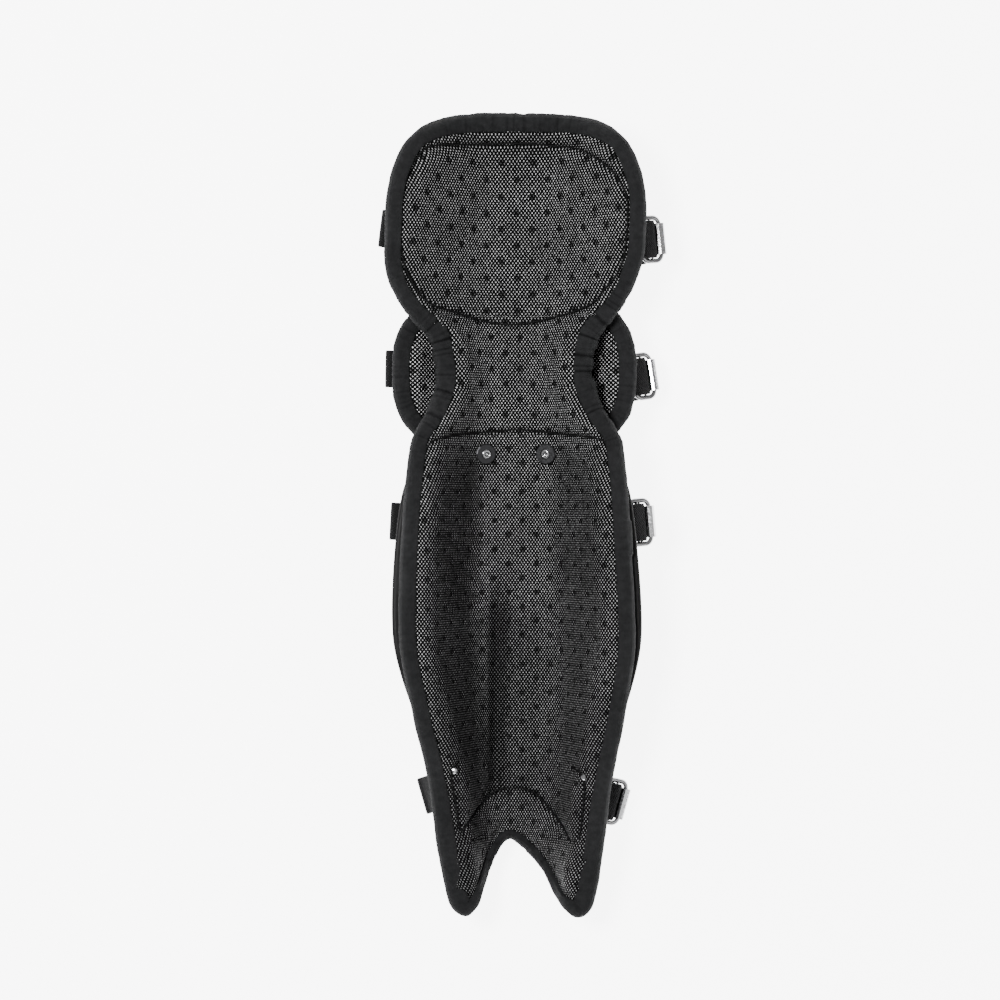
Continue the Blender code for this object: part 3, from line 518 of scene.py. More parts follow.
def anchor_run(strap, side, across):
    """The riveted end of a strap or tab on the shell's wall, from its end to the shell's edge."""
    shares = (strap.anchor - 2 * RIVET_FROM_EDGE, strap.anchor - RIVET_FROM_EDGE, strap.anchor)
    return [anchor_point(strap, side, share, across, WEB_THICK) for share in shares]


def weave_bends():
    """Distance from the adjuster's middle and rise of the strap there, over and under its three bars."""
    bar = FRAME_DEPTH / 2 - FRAME_BAR / 2
    over = FRAME_BAR / 2 + TOUCH
    half = [(CENTRE_BAR / 2 + TOUCH, WEAVE), (bar - over, -WEAVE), (bar + over, -WEAVE), (1.55 * bar, 0.0)]
    return [*reversed(half), *[(-along, rise) for along, rise in half]]


def taut_run(strap, edge):
    """The taut stretch of a strap's edge, from the left fold to the hook's inner bar."""
    fold = end_frame(strap, -1)
    across = edge * WEB_WIDTH / 2
    fold_low = fold @ Vector((-FOLD_RADIUS - WEB_THICK, -across, -2 * FOLD_RADIUS))
    hook_start = hook_matrix(strap) @ Vector((hook_end_outline()[0][0], across, hook_end_outline()[0][1]))
    bed = [p for p in strap_bed(strap, edge) if p.x < hook_start.x - BED_END]
    return hull_below([fold_low, *bed, hook_start])


def adjuster_matrix(strap):
    """Matrix on the taut strap by its left fold: local X toward the fold, local Z up."""
    taut = taut_run(strap, 0)
    run = (taut[1] - taut[0]).normalized()
    along = (end_frame(strap, -1).to_3x3() @ Vector((0, 1, 0))).normalized()
    out = -(run - along * run.dot(along)).normalized()
    turned = Matrix((out, along, out.cross(along))).transposed().to_4x4()
    return Matrix.Translation(taut[0] - out * ADJUSTER_FROM_FOLD) @ turned


def resample(points, count):
    """count points spread evenly along a polyline."""
    lengths = [0.0]
    for a, b in zip(points, points[1:]):
        lengths.append(lengths[-1] + (b - a).length)
    out = []
    for k in range(count):
        target = lengths[-1] * k / (count - 1)
        i = max(n for n in range(len(lengths) - 1) if lengths[n] <= target + 1e-12)
        span = lengths[i + 1] - lengths[i]
        out.append(points[i].lerp(points[i + 1], (target - lengths[i]) / span))
    return out


def strap_rows(strap):
    """The strap's inner face: from its riveted end on the left, round its fold, to its hook."""
    fold = end_frame(strap, -1)
    turn = arc(-FOLD_RADIUS - WEB_THICK, -FOLD_RADIUS, FOLD_RADIUS, 90, -70, 4)
    columns = []
    for edge in (-1, 0, 1):
        across = edge * WEB_WIDTH / 2
        bends = placed(adjuster_matrix(strap), weave_bends(), -across)
        past_adjuster = [p for p in taut_run(strap, edge) if p.x > bends[-1].x + BED_END]
        taut = resample(past_adjuster, STRAP_STEPS)
        end = placed(hook_matrix(strap), hook_end_outline()[1:], across)
        columns.append([*anchor_run(strap, -1, across), *placed(fold, turn, -across), *bends, *taut, *end])
    return list(zip(*columns))


def tab_rows(strap):
    """The tab's inner face: from its riveted end on the shell, round the frame's centre bar."""
    frame = metal_frame_matrix(strap)
    bar = -FRAME_DEPTH / 2 + FRAME_BAR / 2
    clear = FRAME_THICK / 2 + SOFT_GAP
    inner = -FRAME_DEPTH + FRAME_BAR / 2 - clear
    outline = [(inner, clear), *arc(bar, 0, clear, 90, -90, 4), (inner + FRAME_BAR, -clear)]
    columns = []
    for edge in (1, 0, -1):
        across = edge * WEB_WIDTH / 2
        columns.append([*anchor_run(strap, 1, across), *placed(frame, outline, across)])
    return list(zip(*columns))


def facing(point, normal):
    """Matrix at a point whose local Z is a normal."""
    return Matrix.Translation(point) @ normal.to_track_quat("Z", "Y").to_matrix().to_4x4()


# Size of a pixel of the photograph, and the pixel that is the guard's middle at its foot tips
PIXEL = 0.0006675
MIDDLE_PIXEL = 517
TIP_PIXEL = 922

# Grids of the shown pads, in steps along and across, and the steps in metres between sections of the
# liner, points of a seam and of its readings, and rings of the tape and the webbing
LINER_ROWS, LINER_COLUMNS = 379, 124
WING_ROWS, WING_COLUMNS = 129, 200
SECTION_STEP = 0.001
SEAM_STEP = 0.0007
SEAM_READING_STEP = 0.0008
TAPE_STEP = 0.0011
WEB_STEP = 0.0012
# The block of the liner's grid at each corner of the knee whose normals come from the face's slopes
CORNER_BLOCK = 12

# Seams of the lining as (x, y) pixels of the photograph
KNEE_SEAM = (
    (434, 146), (478, 142), (520, 141), (573, 146), (597, 159), (616, 178), (627, 203), (625, 248),
    (618, 272), (603, 290), (588, 305), (548, 317), (503, 322), (449, 309), (431, 303), (414, 285),
    (403, 257), (401, 211), (409, 174), (418, 158),
)
SHIN_SEAM = (
    (424, 470), (426, 452), (433, 441), (444, 438), (462, 434), (492, 431), (522, 429), (557, 433),
    (592, 438), (603, 441), (609, 452), (610, 470),
)
FOOT_SEAM = (
    (464, 831), (474, 818), (490, 800), (502, 794), (519, 793), (536, 799), (550, 814), (562, 830),
    (571, 845),
)
LEFT_SEAM = ((459, 763), (452, 776), (455, 797), (459, 823), (463, 835))
RIGHT_SEAM = ((571, 768), (581, 775), (584, 790), (581, 826), (578, 843))
OPEN_SEAMS = (SHIN_SEAM, FOOT_SEAM, LEFT_SEAM, RIGHT_SEAM)

# Lattices of the lining, from the foot up: the height in metres where each starts, and in pixels the
# place of one of its dots and the steps of its dots and of its threads
Lattice = namedtuple("Lattice", "low dot_x dot_y pitch_x pitch_y thread_x thread_y")
LATTICES = (
    Lattice(0.0000, 523, 550, 28.6, 29.2, 3.17, 4.57),
    Lattice(0.3250, 520, 367, 29.0, 31.4, 3.35, 4.75),
    Lattice(0.4060, 502, 225, 31.4, 33.5, 3.57, 4.94),
)
WING_LATTICE = Lattice(0.0, 517, 370, 30.0, 31.0, 4.6, 4.17)


def from_photo(px, py):
    """Plan point of a pixel of the photograph."""
    return (px - MIDDLE_PIXEL) * PIXEL, (TIP_PIXEL - py) * PIXEL


def row_height(k, x):
    half, centre, low, rise, flat = section_at(k * SECTION_STEP)
    return low + trough_height(x - centre, half, rise, flat)


def liner_height(x, y):
    """Height of the liner's face, read between sections a millimetre apart."""
    k = math.floor(y / SECTION_STEP)
    t = y / SECTION_STEP - k
    return (1 - t) * row_height(k, x) + t * row_height(k + 1, x)


def liner_plan(u, v):
    """Plan point of the liner: u from -1 to 1 across it, v from 0 at the foot edge to 1 at the top edge."""
    y = FOOT_CORNER + (TOP_CORNER - FOOT_CORNER) * v
    fade = END_FADE * LENGTH
    foot_lift = (foot_edge(u) - FOOT_CORNER) * (1 - ease((y - FOOT_CORNER) / fade))
    top_lift = (top_edge(u) - TOP_CORNER) * (1 - ease((TOP_CORNER - y) / fade))
    return middle(y) + u * side_half(y), y + foot_lift + top_lift


def wing_half_at(share):
    """Half width of the wings' oval at a share of their half height."""
    return WING_HALF * max(1 - abs(share) ** OVAL_POWER, OVAL_END) ** OVAL_ROUND


def wing_plan(u, v):
    """Plan point of the wings: u from -1 to 1 across them, v from 0 to 1 up the leg."""
    share = 2 * v - 1
    return WING_LEAN + u * wing_half_at(share), WING_Y + share * WING_HALF_HEIGHT


def new_piece(name, points, faces, slot, finish, *nodes):
    """A shown piece from points and faces, riding on the guard and standing for CAD nodes."""
    mesh = bpy.data.meshes.new(name)
    mesh.from_pydata([tuple(Vector(p) + SHIFT) for p in points], [], faces)
    mesh.update()
    mesh.shade_smooth()
    made = bpy.data.objects.new(name, mesh)
    bpy.context.scene.collection.objects.link(made)
    mesh.materials.append(finish)
    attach(made, "root")
    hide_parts(*nodes)
    return made


def grid_faces(rows, columns, start=0, flip=False):
    faces = []
    for i in range(rows - 1):
        for j in range(columns - 1):
            a = start + i * columns + j
            face = (a, a + 1, a + 1 + columns, a + columns)
            faces.append(face[::-1] if flip else face)
    return faces


def plan_grid(plan, rows, columns):
    """Plan points of a pad or shell at even steps along it and across it."""
    across = [-1 + 2 * j / columns for j in range(columns + 1)]
    return [[plan(u, i / rows) for u in across] for i in range(rows + 1)]


def grid_border(rows, columns):
    border = [(0, j) for j in range(columns - 1)]
    border += [(i, columns - 1) for i in range(rows - 1)]
    border += [(rows - 1, j) for j in range(columns - 1, 0, -1)]
    border += [(i, 0) for i in range(rows - 1, 0, -1)]
    return border


def closed_grid(rows, columns):
    """Faces of a solid between two grids of points: the upper one first, then the lower one."""
    count = rows * columns
    faces = grid_faces(rows, columns) + grid_faces(rows, columns, count, True)
    border = [i * columns + j for i, j in grid_border(rows, columns)]
    for a, b in zip(border, border[1:] + border[:1]):
        faces.append((a, a + count, b + count, b))
    return faces


def tube_faces(rings, sides, closed):
    """Faces between rings of points: joined end to end, or with both ends capped."""
    faces = []
    for k in range(rings if closed else rings - 1):
        a, b = k * sides, (k + 1) % rings * sides
        for n in range(sides):
            after = (n + 1) % sides
            faces.append((a + n, b + n, b + after, a + after))
    if not closed:
        faces.append(tuple(range(sides)))
        faces.append(tuple((rings - 1) * sides + n for n in reversed(range(sides))))
    return faces


def shifted_faces(faces, start):
    return [tuple(start + n for n in face) for face in faces]


def face_outward(mesh):
    """Turns every face of a closed mesh outward."""
    work = bmesh.new()
    work.from_mesh(mesh)
    bmesh.ops.recalc_face_normals(work, faces=work.faces)
    work.to_mesh(mesh)
    work.free()


def grid_normals(points):
    """Unit normals of a grid of points, by differences along its rows and columns."""
    along = np.gradient(points, axis=0)
    across = np.gradient(points, axis=1)
    normals = np.cross(across, along)
    return normals / np.linalg.norm(normals, axis=2, keepdims=True)


def set_uv(mesh, name, values):
    """A UV map from one (u, v) for each vertex."""
    layer = mesh.uv_layers.new(name=name)
    corners = np.empty(len(mesh.loops), dtype=np.int32)
    mesh.loops.foreach_get("vertex_index", corners)
    layer.data.foreach_set("uv", np.asarray(values, dtype=np.float32)[corners].ravel())


def set_uv_by_zone(mesh, name, values_of_zone, zone_of_face):
    """A UV map whose values differ from zone to zone, face by face."""
    layer = mesh.uv_layers.new(name=name)
    corners = np.empty(len(mesh.loops), dtype=np.int32)
    mesh.loops.foreach_get("vertex_index", corners)
    totals = np.empty(len(mesh.polygons), dtype=np.int32)
    mesh.polygons.foreach_get("loop_total", totals)
    zones = np.repeat(zone_of_face, totals)
    values = np.asarray(values_of_zone, dtype=np.float32)[zones, corners]
    layer.data.foreach_set("uv", values.ravel())


def set_shade(mesh, values):
    layer = mesh.attributes.new("shade", "FLOAT", "POINT")
    layer.data.foreach_set("value", np.asarray(values, dtype=np.float32))


def smooth_line(points, step, closed=False):
    """Points at even steps on a Catmull-Rom curve through (x, y) points."""
    points = [np.array(p, dtype=float) for p in points]
    if closed:
        points = [points[-1], *points, points[0], points[1]]
    else:
        points = [2 * points[0] - points[1], *points, 2 * points[-1] - points[-2]]
    line = []
    for a, b, c, d in zip(points, points[1:], points[2:], points[3:]):
        count = max(2, int(np.linalg.norm(c - b) / step))
        for k in range(count):
            t = k / count
            square, cube = 2 * a - 5 * b + 4 * c - d, 3 * b - a - 3 * c + d
            line.append(0.5 * (2 * b + (c - a) * t + square * t * t + cube * t**3))
    return line


def seam_lines(step):
    """The lining's seams as lines of plan points, each with whether it is closed."""
    seams = [(KNEE_SEAM, True)] + [(seam, False) for seam in OPEN_SEAMS]
    return [(smooth_line([from_photo(*p) for p in seam], step, closed), closed) for seam, closed in seams]


def seam_tree():
    """The lining's seams as points on its face, to find how far a point is from them."""
    lines = [line for line, _ in seam_lines(SEAM_READING_STEP)]
    points = [(x, y, liner_height(x, y)) for line in lines for x, y in line]
    tree = kdtree.KDTree(len(points))
    for k, point in enumerate(points):
        tree.insert(point, k)
    tree.balance()
    return tree


def lattice_values(lattice, across, along):
    """The dot lattice's and the thread lattice's coordinates, one unit for each repeat."""
    dot_x, dot_y = from_photo(lattice.dot_x, lattice.dot_y)
    dots = np.stack(
        ((across - dot_x) / (lattice.pitch_x * PIXEL), (along - dot_y) / (lattice.pitch_y * PIXEL)), axis=-1
    )
    threads = np.stack(
        (across / (lattice.thread_x * PIXEL), along / (lattice.thread_y * PIXEL)), axis=-1
    )
    return dots, threads


def soft_step(value, low, high):
    """0 below low, 1 above high, and a smooth rise between them."""
    t = np.clip((value - low) / (high - low), 0, 1)
    return t * t * (3 - 2 * t)


# How near to a dot's middle its dimple starts and is deepest, as its lattice counts
DIMPLE_START, DIMPLE_END = 0.70, 0.95


def dot_depth(dots):
    """How deep a point lies in a tuft's dimple, from 0 to 1."""
    near = np.cos(2 * math.pi * dots[..., 0]) * np.cos(2 * math.pi * dots[..., 1])
    return soft_step(near, DIMPLE_START, DIMPLE_END)


def ripple(points, size, seed):
    """Seeded smooth noise at each point, between about -1 and 1."""
    offset = Vector((seed * 13.7, seed * 7.1, seed * 3.3))
    flat = points.reshape(-1, 3) / size
    return np.array([noise.noise(Vector(p) + offset) for p in flat]).reshape(points.shape[:-1])


def window(value, band):
    """1 inside a band, falling to 0 over a soft length outside it."""
    inside = soft_step(value, band.low - band.soft, band.low)
    return inside * (1 - soft_step(value, band.high, band.high + band.soft))


def hump(value, reach):
    """1 at zero, falling to almost 0 at twice the reach."""
    return np.exp(-((value / reach) ** 2))


def arc_lengths(points):
    """Distance over the surface of each grid point from its row's middle."""
    steps = np.linalg.norm(np.diff(points, axis=1), axis=2)
    lengths = np.concatenate((np.zeros((len(points), 1)), np.cumsum(steps, axis=1)), axis=1)
    return lengths - lengths[:, [points.shape[1] // 2]]


def edge_distances(points):
    """Distance over the surface of each grid point from the grid's nearest edge."""
    across = np.linalg.norm(np.diff(points, axis=1), axis=2)
    along = np.linalg.norm(np.diff(points, axis=0), axis=2)
    left = np.concatenate((np.zeros((len(points), 1)), np.cumsum(across, axis=1)), axis=1)
    low = np.concatenate((np.zeros((1, points.shape[1])), np.cumsum(along, axis=0)), axis=0)
    return np.minimum.reduce([left, left[:, [-1]] - left, low, low[[-1], :] - low])


# The lining's relief, in metres: a seam's channel, the padding that swells beside it, a tuft's dimple,
# how far the padding sinks under the tape, and the tape's reach from the edge, wider at neck and foot
CHANNEL_REACH, CHANNEL_DEPTH = 0.0014, 0.0017
CROWN_REACH, CROWN_HEIGHT = 0.007, 0.0014
TUFT_DEPTH = 0.0009
TAPE_SINK = 0.0006
TAPE_REACH = 0.0075
WIDE_TAPE_REACH = 0.0030
TAPE_SOFT = (0.001, 0.006)
FOOT_TAPE = (0.090, 0.120)
# The long fold on the left of the lower shin, and the swells on both sides of it: offset, reach, height
FOLD_X, FOLD_Y, FOLD_SLANT = -0.0130, 0.145, 0.018
FOLD_REACH, FOLD_DEPTH = 0.0050, 0.0052
FOLD_SIDES = ((0.013, 0.008, 0.0022), (-0.012, 0.007, 0.0016))
# Slanting wrinkles on the left of the shin, puckers by the tape at its widest, and unevenness all over:
# height, size and seed
WRINKLE_HEIGHT, WRINKLE_LENGTH, WRINKLE_SLANT = 0.0012, 0.013, 0.55
PUCKER_HEIGHT, PUCKER_LENGTH = 0.0006, 0.006
UNEVENNESS = ((0.0007, 0.030, 1), (0.00030, 0.009, 2))

# Where along the leg or across it something is, with soft ends, in metres or shares of the half width
Band = namedtuple("Band", "low high soft")
NECK_TAPE = Band(0.325, 0.415, 0.010)
FOLD_ALONG = Band(0.100, 0.200, 0.040)
WRINKLE_ALONG, WRINKLE_ACROSS = Band(0.214, 0.268, 0.018), Band(-0.045, -0.030, 0.008)
PUCKER_ALONG, PUCKER_ACROSS = Band(0.262, 0.272, 0.008), Band(0.052, 0.062, 0.004)
WALL_SHARE = Band(0.42, 0.74, 0.16)
LOW_SHIN = Band(0.100, 0.185, 0.035)

# Painted shade that hides the light yarn, from 0 to 1: on both walls and less so on the low right one, and in
# the fold; and a darkening by the foot and in the middle, where share and reach say how far across it goes
LEFT_WALL_SHADE, RIGHT_WALL_SHADE, LOW_WALL_LIGHT = 0.60, 0.50, 0.14
FOLD_SHADE, FOLD_SHADE_REACH = 0.88, 0.0080
FOOT_SHADE = 0.30
MIDDLE_SHADE, LOW_MIDDLE_SHADE = 0.12, 0.24
MIDDLE_SHARE, MIDDLE_REACH = 0.08, 0.40
# Heights along the leg between which a shade comes or goes
WALL_TOP = (0.300, 0.345)
LOW_WALL = (0.190, 0.230)
FOOT_DARK = (0.110, 0.250)
KNEE_BASE = (0.375, 0.400)


def from_fold(x, y):
    """Distance across the leg from the middle of the fold."""
    return x - (FOLD_X + FOLD_SLANT * (y - FOLD_Y))


def liner_relief(points, seam, edge, tuft):
    """How far the padded face rises above its plain form."""
    x, y = points[..., 0], points[..., 1]
    rise = CROWN_HEIGHT * (1 - hump(seam, CROWN_REACH)) - CHANNEL_DEPTH * hump(seam, CHANNEL_REACH)
    wide = window(y, NECK_TAPE) + (1 - soft_step(y, *FOOT_TAPE))
    reach = TAPE_REACH + WIDE_TAPE_REACH * wide
    by_tape = soft_step(edge, reach - TAPE_SOFT[0], reach + TAPE_SOFT[1])
    rise = rise * by_tape - TAPE_SINK * (1 - by_tape)
    rise -= TUFT_DEPTH * tuft * by_tape
    fold = -FOLD_DEPTH * hump(from_fold(x, y), FOLD_REACH)
    for offset, side_reach, height in FOLD_SIDES:
        fold += height * hump(from_fold(x, y) - offset, side_reach)
    rise += window(y, FOLD_ALONG) * fold
    wrinkle_at = window(y, WRINKLE_ALONG) * window(x, WRINKLE_ACROSS)
    rise += WRINKLE_HEIGHT * wrinkle_at * np.sin((x * WRINKLE_SLANT + y) * 2 * math.pi / WRINKLE_LENGTH)
    pucker_at = window(y, PUCKER_ALONG) * window(abs(x), PUCKER_ACROSS)
    rise += PUCKER_HEIGHT * pucker_at * np.sin(y * 2 * math.pi / PUCKER_LENGTH)
    return rise + sum(height * ripple(points, size, seed) for height, size, seed in UNEVENNESS)


def liner_shade(points, seam):
    """Painted shade that hides the light yarn, from 0 to 1: on the walls and in the fold, with the seams'
    dark lines, and darker by the foot and in the middle.
    """
    x, y = points[..., 0], points[..., 1]
    of_rows = y[:, y.shape[1] // 2]
    half = np.array([side_half(v) for v in of_rows])[:, None]
    lean = np.array([middle(v) for v in of_rows])[:, None]
    share = (x - lean) / half
    # Painted shade on the trough's walls, deepest on the left wall, which faces away from the key light
    on_wall = window(abs(share), WALL_SHARE) * (1 - soft_step(y, *WALL_TOP))
    right_wall = RIGHT_WALL_SHADE - LOW_WALL_LIGHT * (1 - soft_step(y, *LOW_WALL))
    wall = np.where(share < 0, LEFT_WALL_SHADE, right_wall) * on_wall
    # Painted shade in the long fold
    painted_fold_shade = FOLD_SHADE * window(y, FOLD_ALONG) * hump(from_fold(x, y), FOLD_SHADE_REACH)
    by_foot = FOOT_SHADE * (1 - soft_step(y, *FOOT_DARK))
    in_middle = MIDDLE_SHADE + LOW_MIDDLE_SHADE * window(y, LOW_SHIN)
    in_middle = in_middle * (1 - soft_step(y, *KNEE_BASE)) * hump(share - MIDDLE_SHARE, MIDDLE_REACH)
    shade = np.maximum.reduce([hump(seam, CHANNEL_REACH), painted_fold_shade, wall])
    return 1 - (1 - shade) * (1 - by_foot) * (1 - in_middle)


def build_liner(materials):
    """The padded lining, with the seams, tufts, folds and puckers of its face."""
    rows, columns = LINER_ROWS + 1, LINER_COLUMNS + 1
    plan = plan_grid(liner_plan, LINER_ROWS, LINER_COLUMNS)
    face = np.array([[(x, y, liner_height(x, y)) for x, y in row] for row in plan])
    normals = grid_normals(face)
    for i in range(rows - CORNER_BLOCK, rows):
        for j in (*range(CORNER_BLOCK), *range(columns - CORNER_BLOCK, columns)):
            along_x, along_y = slope_of(liner_height, *face[i, j, :2])
            normals[i, j] = Vector((-along_x, -along_y, 1)).normalized()
    across = arc_lengths(face) + np.array([middle(row[columns // 2][1]) for row in plan])[:, None]
    edge = edge_distances(face)
    tree = seam_tree()
    seam = np.array([tree.find(p)[2] for p in face.reshape(-1, 3)]).reshape(rows, columns)
    zone = sum((face[..., 1] > lattice.low).astype(int) for lattice in LATTICES[1:])
    lattices = [lattice_values(lattice, across, face[..., 1]) for lattice in LATTICES]
    tuft = np.choose(zone, [dot_depth(dots) for dots, _ in lattices])
    shade = liner_shade(face, seam)
    top = face + normals * liner_relief(face, seam, edge, tuft)[..., None]
    thickness = RIM_THICK + (PAD_THICK - RIM_THICK) * soft_step(edge, BINDING_WIDTH, BINDING_WIDTH + PAD_RAMP)
    low = face - normals * thickness[..., None]
    points = np.concatenate((top.reshape(-1, 3), low.reshape(-1, 3)))
    made = new_piece(
        "liner", points, closed_grid(rows, columns), "mesh_lining", materials["air_mesh"], "liner_pad"
    )
    mesh = made.data
    centres = np.empty(len(mesh.polygons) * 3, dtype=np.float32)
    mesh.polygons.foreach_get("center", centres)
    centre_y = centres.reshape(-1, 3)[:, 1] - SHIFT.y
    face_zone = sum((centre_y > lattice.low).astype(int) for lattice in LATTICES[1:])
    for k, name in enumerate(("dots", "threads")):
        by_zone = [np.concatenate((pair[k].reshape(-1, 2),) * 2) for pair in lattices]
        set_uv_by_zone(mesh, name, by_zone, face_zone)
    set_shade(mesh, np.concatenate((shade.ravel(), np.zeros(shade.size))))


# The seams' thread: its length of stitch, least half height and swell, depth in the pad and flatness
STITCH = 0.0030
THREAD_THIN, THREAD_SWELL = 0.00026, 0.00020
THREAD_SINK = 0.0006
THREAD_FLAT = 1.5


def build_seams(materials):
    """The lining's seams: black thread sunk in the channels, a stitch at a time."""
    sides = 6
    points, faces = [], []
    for line, closed in seam_lines(SEAM_STEP):
        count = len(line) - (0 if closed else 1)
        faces += shifted_faces(tube_faces(count, sides, closed), len(points))
        for k in range(count):
            here, after = line[k], line[(k + 1) % len(line)]
            run = Vector((*(after - here), 0)).normalized()
            side = Vector((-run.y, run.x, 0))
            swell = THREAD_THIN + THREAD_SWELL * abs(math.sin(math.pi * k * SEAM_STEP / STITCH))
            centre = below(liner_height, *here, THREAD_SINK)
            normal = (centre - below(liner_height, *here, THREAD_SINK + 0.001)).normalized()
            for n in range(sides):
                angle = 2 * math.pi * n / sides
                out = side * swell * THREAD_FLAT * math.cos(angle)
                points.append(centre + out + normal * swell * math.sin(angle))
    made = new_piece("seam_threads", points, faces, "binding_tape", materials["thread"])
    face_outward(made.data)


# The wings' relief, in metres
WING_SWELL, WING_SINK = 0.0008, 0.0004
WING_TUFT_DEPTH = 0.0007
WING_UNEVENNESS = 0.0004


def build_wings(materials):
    """The wing pad behind the neck, whose two ends show beside it."""
    plan = plan_grid(wing_plan, WING_ROWS, WING_COLUMNS)
    face = np.array([[(x, y, wing_height(x, y)) for x, y in row] for row in plan])
    normals = grid_normals(face)
    across, edge = arc_lengths(face), edge_distances(face)
    by_tape = soft_step(edge, WING_BINDING_WIDTH - TAPE_SOFT[0], WING_BINDING_WIDTH + TAPE_SOFT[1])
    dots, threads = lattice_values(WING_LATTICE, across, face[..., 1])
    rise = WING_SWELL * by_tape - WING_SINK - WING_TUFT_DEPTH * dot_depth(dots) * by_tape
    rise += WING_UNEVENNESS * ripple(face, 0.02, 5)
    low = face - normals * WING_RIM_THICK
    points = np.concatenate(((face + normals * rise[..., None]).reshape(-1, 3), low.reshape(-1, 3)))
    faces = closed_grid(WING_ROWS + 1, WING_COLUMNS + 1)
    # The wings' yarn is painted lighter than the lining's, as painted light
    made = new_piece("wings", points, faces, "mesh_lining", materials["wing_mesh_painted_light"], "wing_pad")
    for name, values in (("dots", dots), ("threads", threads)):
        set_uv(made.data, name, np.concatenate((values.reshape(-1, 2),) * 2))
    set_shade(made.data, np.zeros(len(made.data.vertices)))


# Readings of a pad's edge along each side, rounds of smoothing of its line, and more of them, over a
# reach, at the knee's corners
EDGE_READINGS = 600
LINER_SMOOTHING, WING_SMOOTHING = 6, 40
CORNER_SMOOTHING, CORNER_REACH = 70, 0.014


def edge_line(plan, step, smoothing):
    """Plan points round a pad's edge at even steps, anticlockwise, and the length between them."""
    fine = EDGE_READINGS
    raw = [plan(-1 + 2 * k / fine, 0) for k in range(fine)]
    raw += [plan(1, k / fine) for k in range(fine)]
    raw += [plan(1 - 2 * k / fine, 1) for k in range(fine)]
    raw += [plan(-1, 1 - k / fine) for k in range(fine)]
    raw = np.array([*raw, raw[0]])
    lengths = np.concatenate(([0], np.cumsum(np.linalg.norm(np.diff(raw, axis=0), axis=1))))
    count = int(lengths[-1] / step)
    at = np.arange(count) * lengths[-1] / count
    line = np.stack((np.interp(at, lengths, raw[:, 0]), np.interp(at, lengths, raw[:, 1])), axis=1)
    at_corner = hump(line[:, [1]] - TOP_CORNER, CORNER_REACH)
    for turn in range(smoothing + CORNER_SMOOTHING):
        softer = (np.roll(line, 1, axis=0) + 2 * line + np.roll(line, -1, axis=0)) / 4
        line = softer if turn < smoothing else line + (softer - line) * at_corner
    return line, lengths[-1] / count


def averaged(values, reach):
    """A closed row of numbers, each the mean of those within reach of it."""
    shifted = [np.roll(values, k) for k in range(-reach, reach + 1)]
    return np.mean(shifted, axis=0)


# How much of a curve's radius a tape may take up on its inside, and more room than any tape needs
INNER_SHARE = 0.88
WIDEST_TAPE = 0.05


def inner_room(tangents, step, reach=4):
    """How far a tape can go in from each point before it would cross itself."""
    ahead, behind = np.roll(tangents, -reach, axis=0), np.roll(tangents, reach, axis=0)
    turn = behind[:, 0] * ahead[:, 1] - behind[:, 1] * ahead[:, 0]
    radius = 2 * reach * step / np.maximum(turn, 1e-3)
    room = np.minimum(INNER_SHARE * radius, WIDEST_TAPE)
    least = np.minimum.reduce([np.roll(room, k) for k in range(-3, 4)])
    return averaged(least, 5)


# Where the tape's two ends overlap, on the right of the shin: the upper end's edge, length and height
JOINT_Y, JOINT_LENGTH, JOINT_RISE = 0.2677, 0.022, 0.0009
# The tape's cloth: height of its gathers, and of its slack and twist, which change so often in a metre
GATHER_HEIGHT = 0.0016
SLACK_HEIGHT, SLACK_CHANGES = 0.00035, 55
TWIST_HEIGHT, TWIST_CHANGES = 0.00012, 180
# Shares of the gathers' height at the pad's rim and at the sewn inner edge
RIM_GATHER = 0.35
SEWN_GATHER = 0.4
# The gathers are two waves, shifted by noise: height, length, size of the shift, and how often the noise
# changes in a metre and where it starts. They are highest at GATHER_PEAK times their sum, less one.
Wave = namedtuple("Wave", "height length shift changes seed")
GATHER_WAVES = (Wave(1.0, 0.0078, 4.0, 50, 1.5), Wave(0.5, 0.0043, 5.0, 45, 7.5))
GATHER_PEAK = 1.3
# How near to nought the waves are in a crease, and how far the wings' tape gathers
CREASE_REACH = 0.22
WING_GATHER = 0.25

# The tape's section: share of its width in from the pad's edge, or metres out from it, and metres up
TapePoint = namedtuple("TapePoint", "share out up")
TAPE_TOP = (
    TapePoint(1.00, 0, -0.0008),
    TapePoint(0.985, 0, 0.0007),
    TapePoint(0.93, 0, 0.0013),
    TapePoint(0.80, 0, 0.0015),
    TapePoint(0.60, 0, 0.0017),
    TapePoint(0.40, 0, 0.0019),
    TapePoint(0.22, 0, 0.0019),
    TapePoint(0.08, 0, 0.0015),
    TapePoint(0.0, 0.0010, 0.0007),
)
TAPE_SIDE = ((0.0020, -0.15), (0.0027, -0.38), (0.0028, -0.62), (0.0021, -0.88))
TAPE_UNDER = (
    TapePoint(0.0, 0.0008, -0.0010),
    TapePoint(0.15, 0, -0.0018),
    TapePoint(0.45, 0, -0.0019),
    TapePoint(0.80, 0, -0.0016),
    TapePoint(0.95, 0, 0.0004),
)


def tape_section(x, y, into, width, height, thick, swell):
    """Points of the tape's section at one point of the pad's edge."""

    def on_pad(share, up):
        at_x, at_y = x + into[0] * width * share, y + into[1] * width * share
        return below(height, at_x, at_y, -up)

    edge, over = on_pad(0, 0), on_pad(0, 0.001)
    normal = (over - edge).normalized()
    out = Vector((-into[0], -into[1], 0))
    out = (out - normal * out.dot(normal)).normalized()
    section = []
    for k, point in enumerate(TAPE_TOP):
        section.append(on_pad(point.share, point.up + swell[k]) + out * point.out)
    for away, share in TAPE_SIDE:
        section.append(edge + out * (away + swell[-1]) + normal * share * thick)
    for point in TAPE_UNDER:
        section.append(on_pad(point.share, point.up - thick) + out * point.out)
    return section


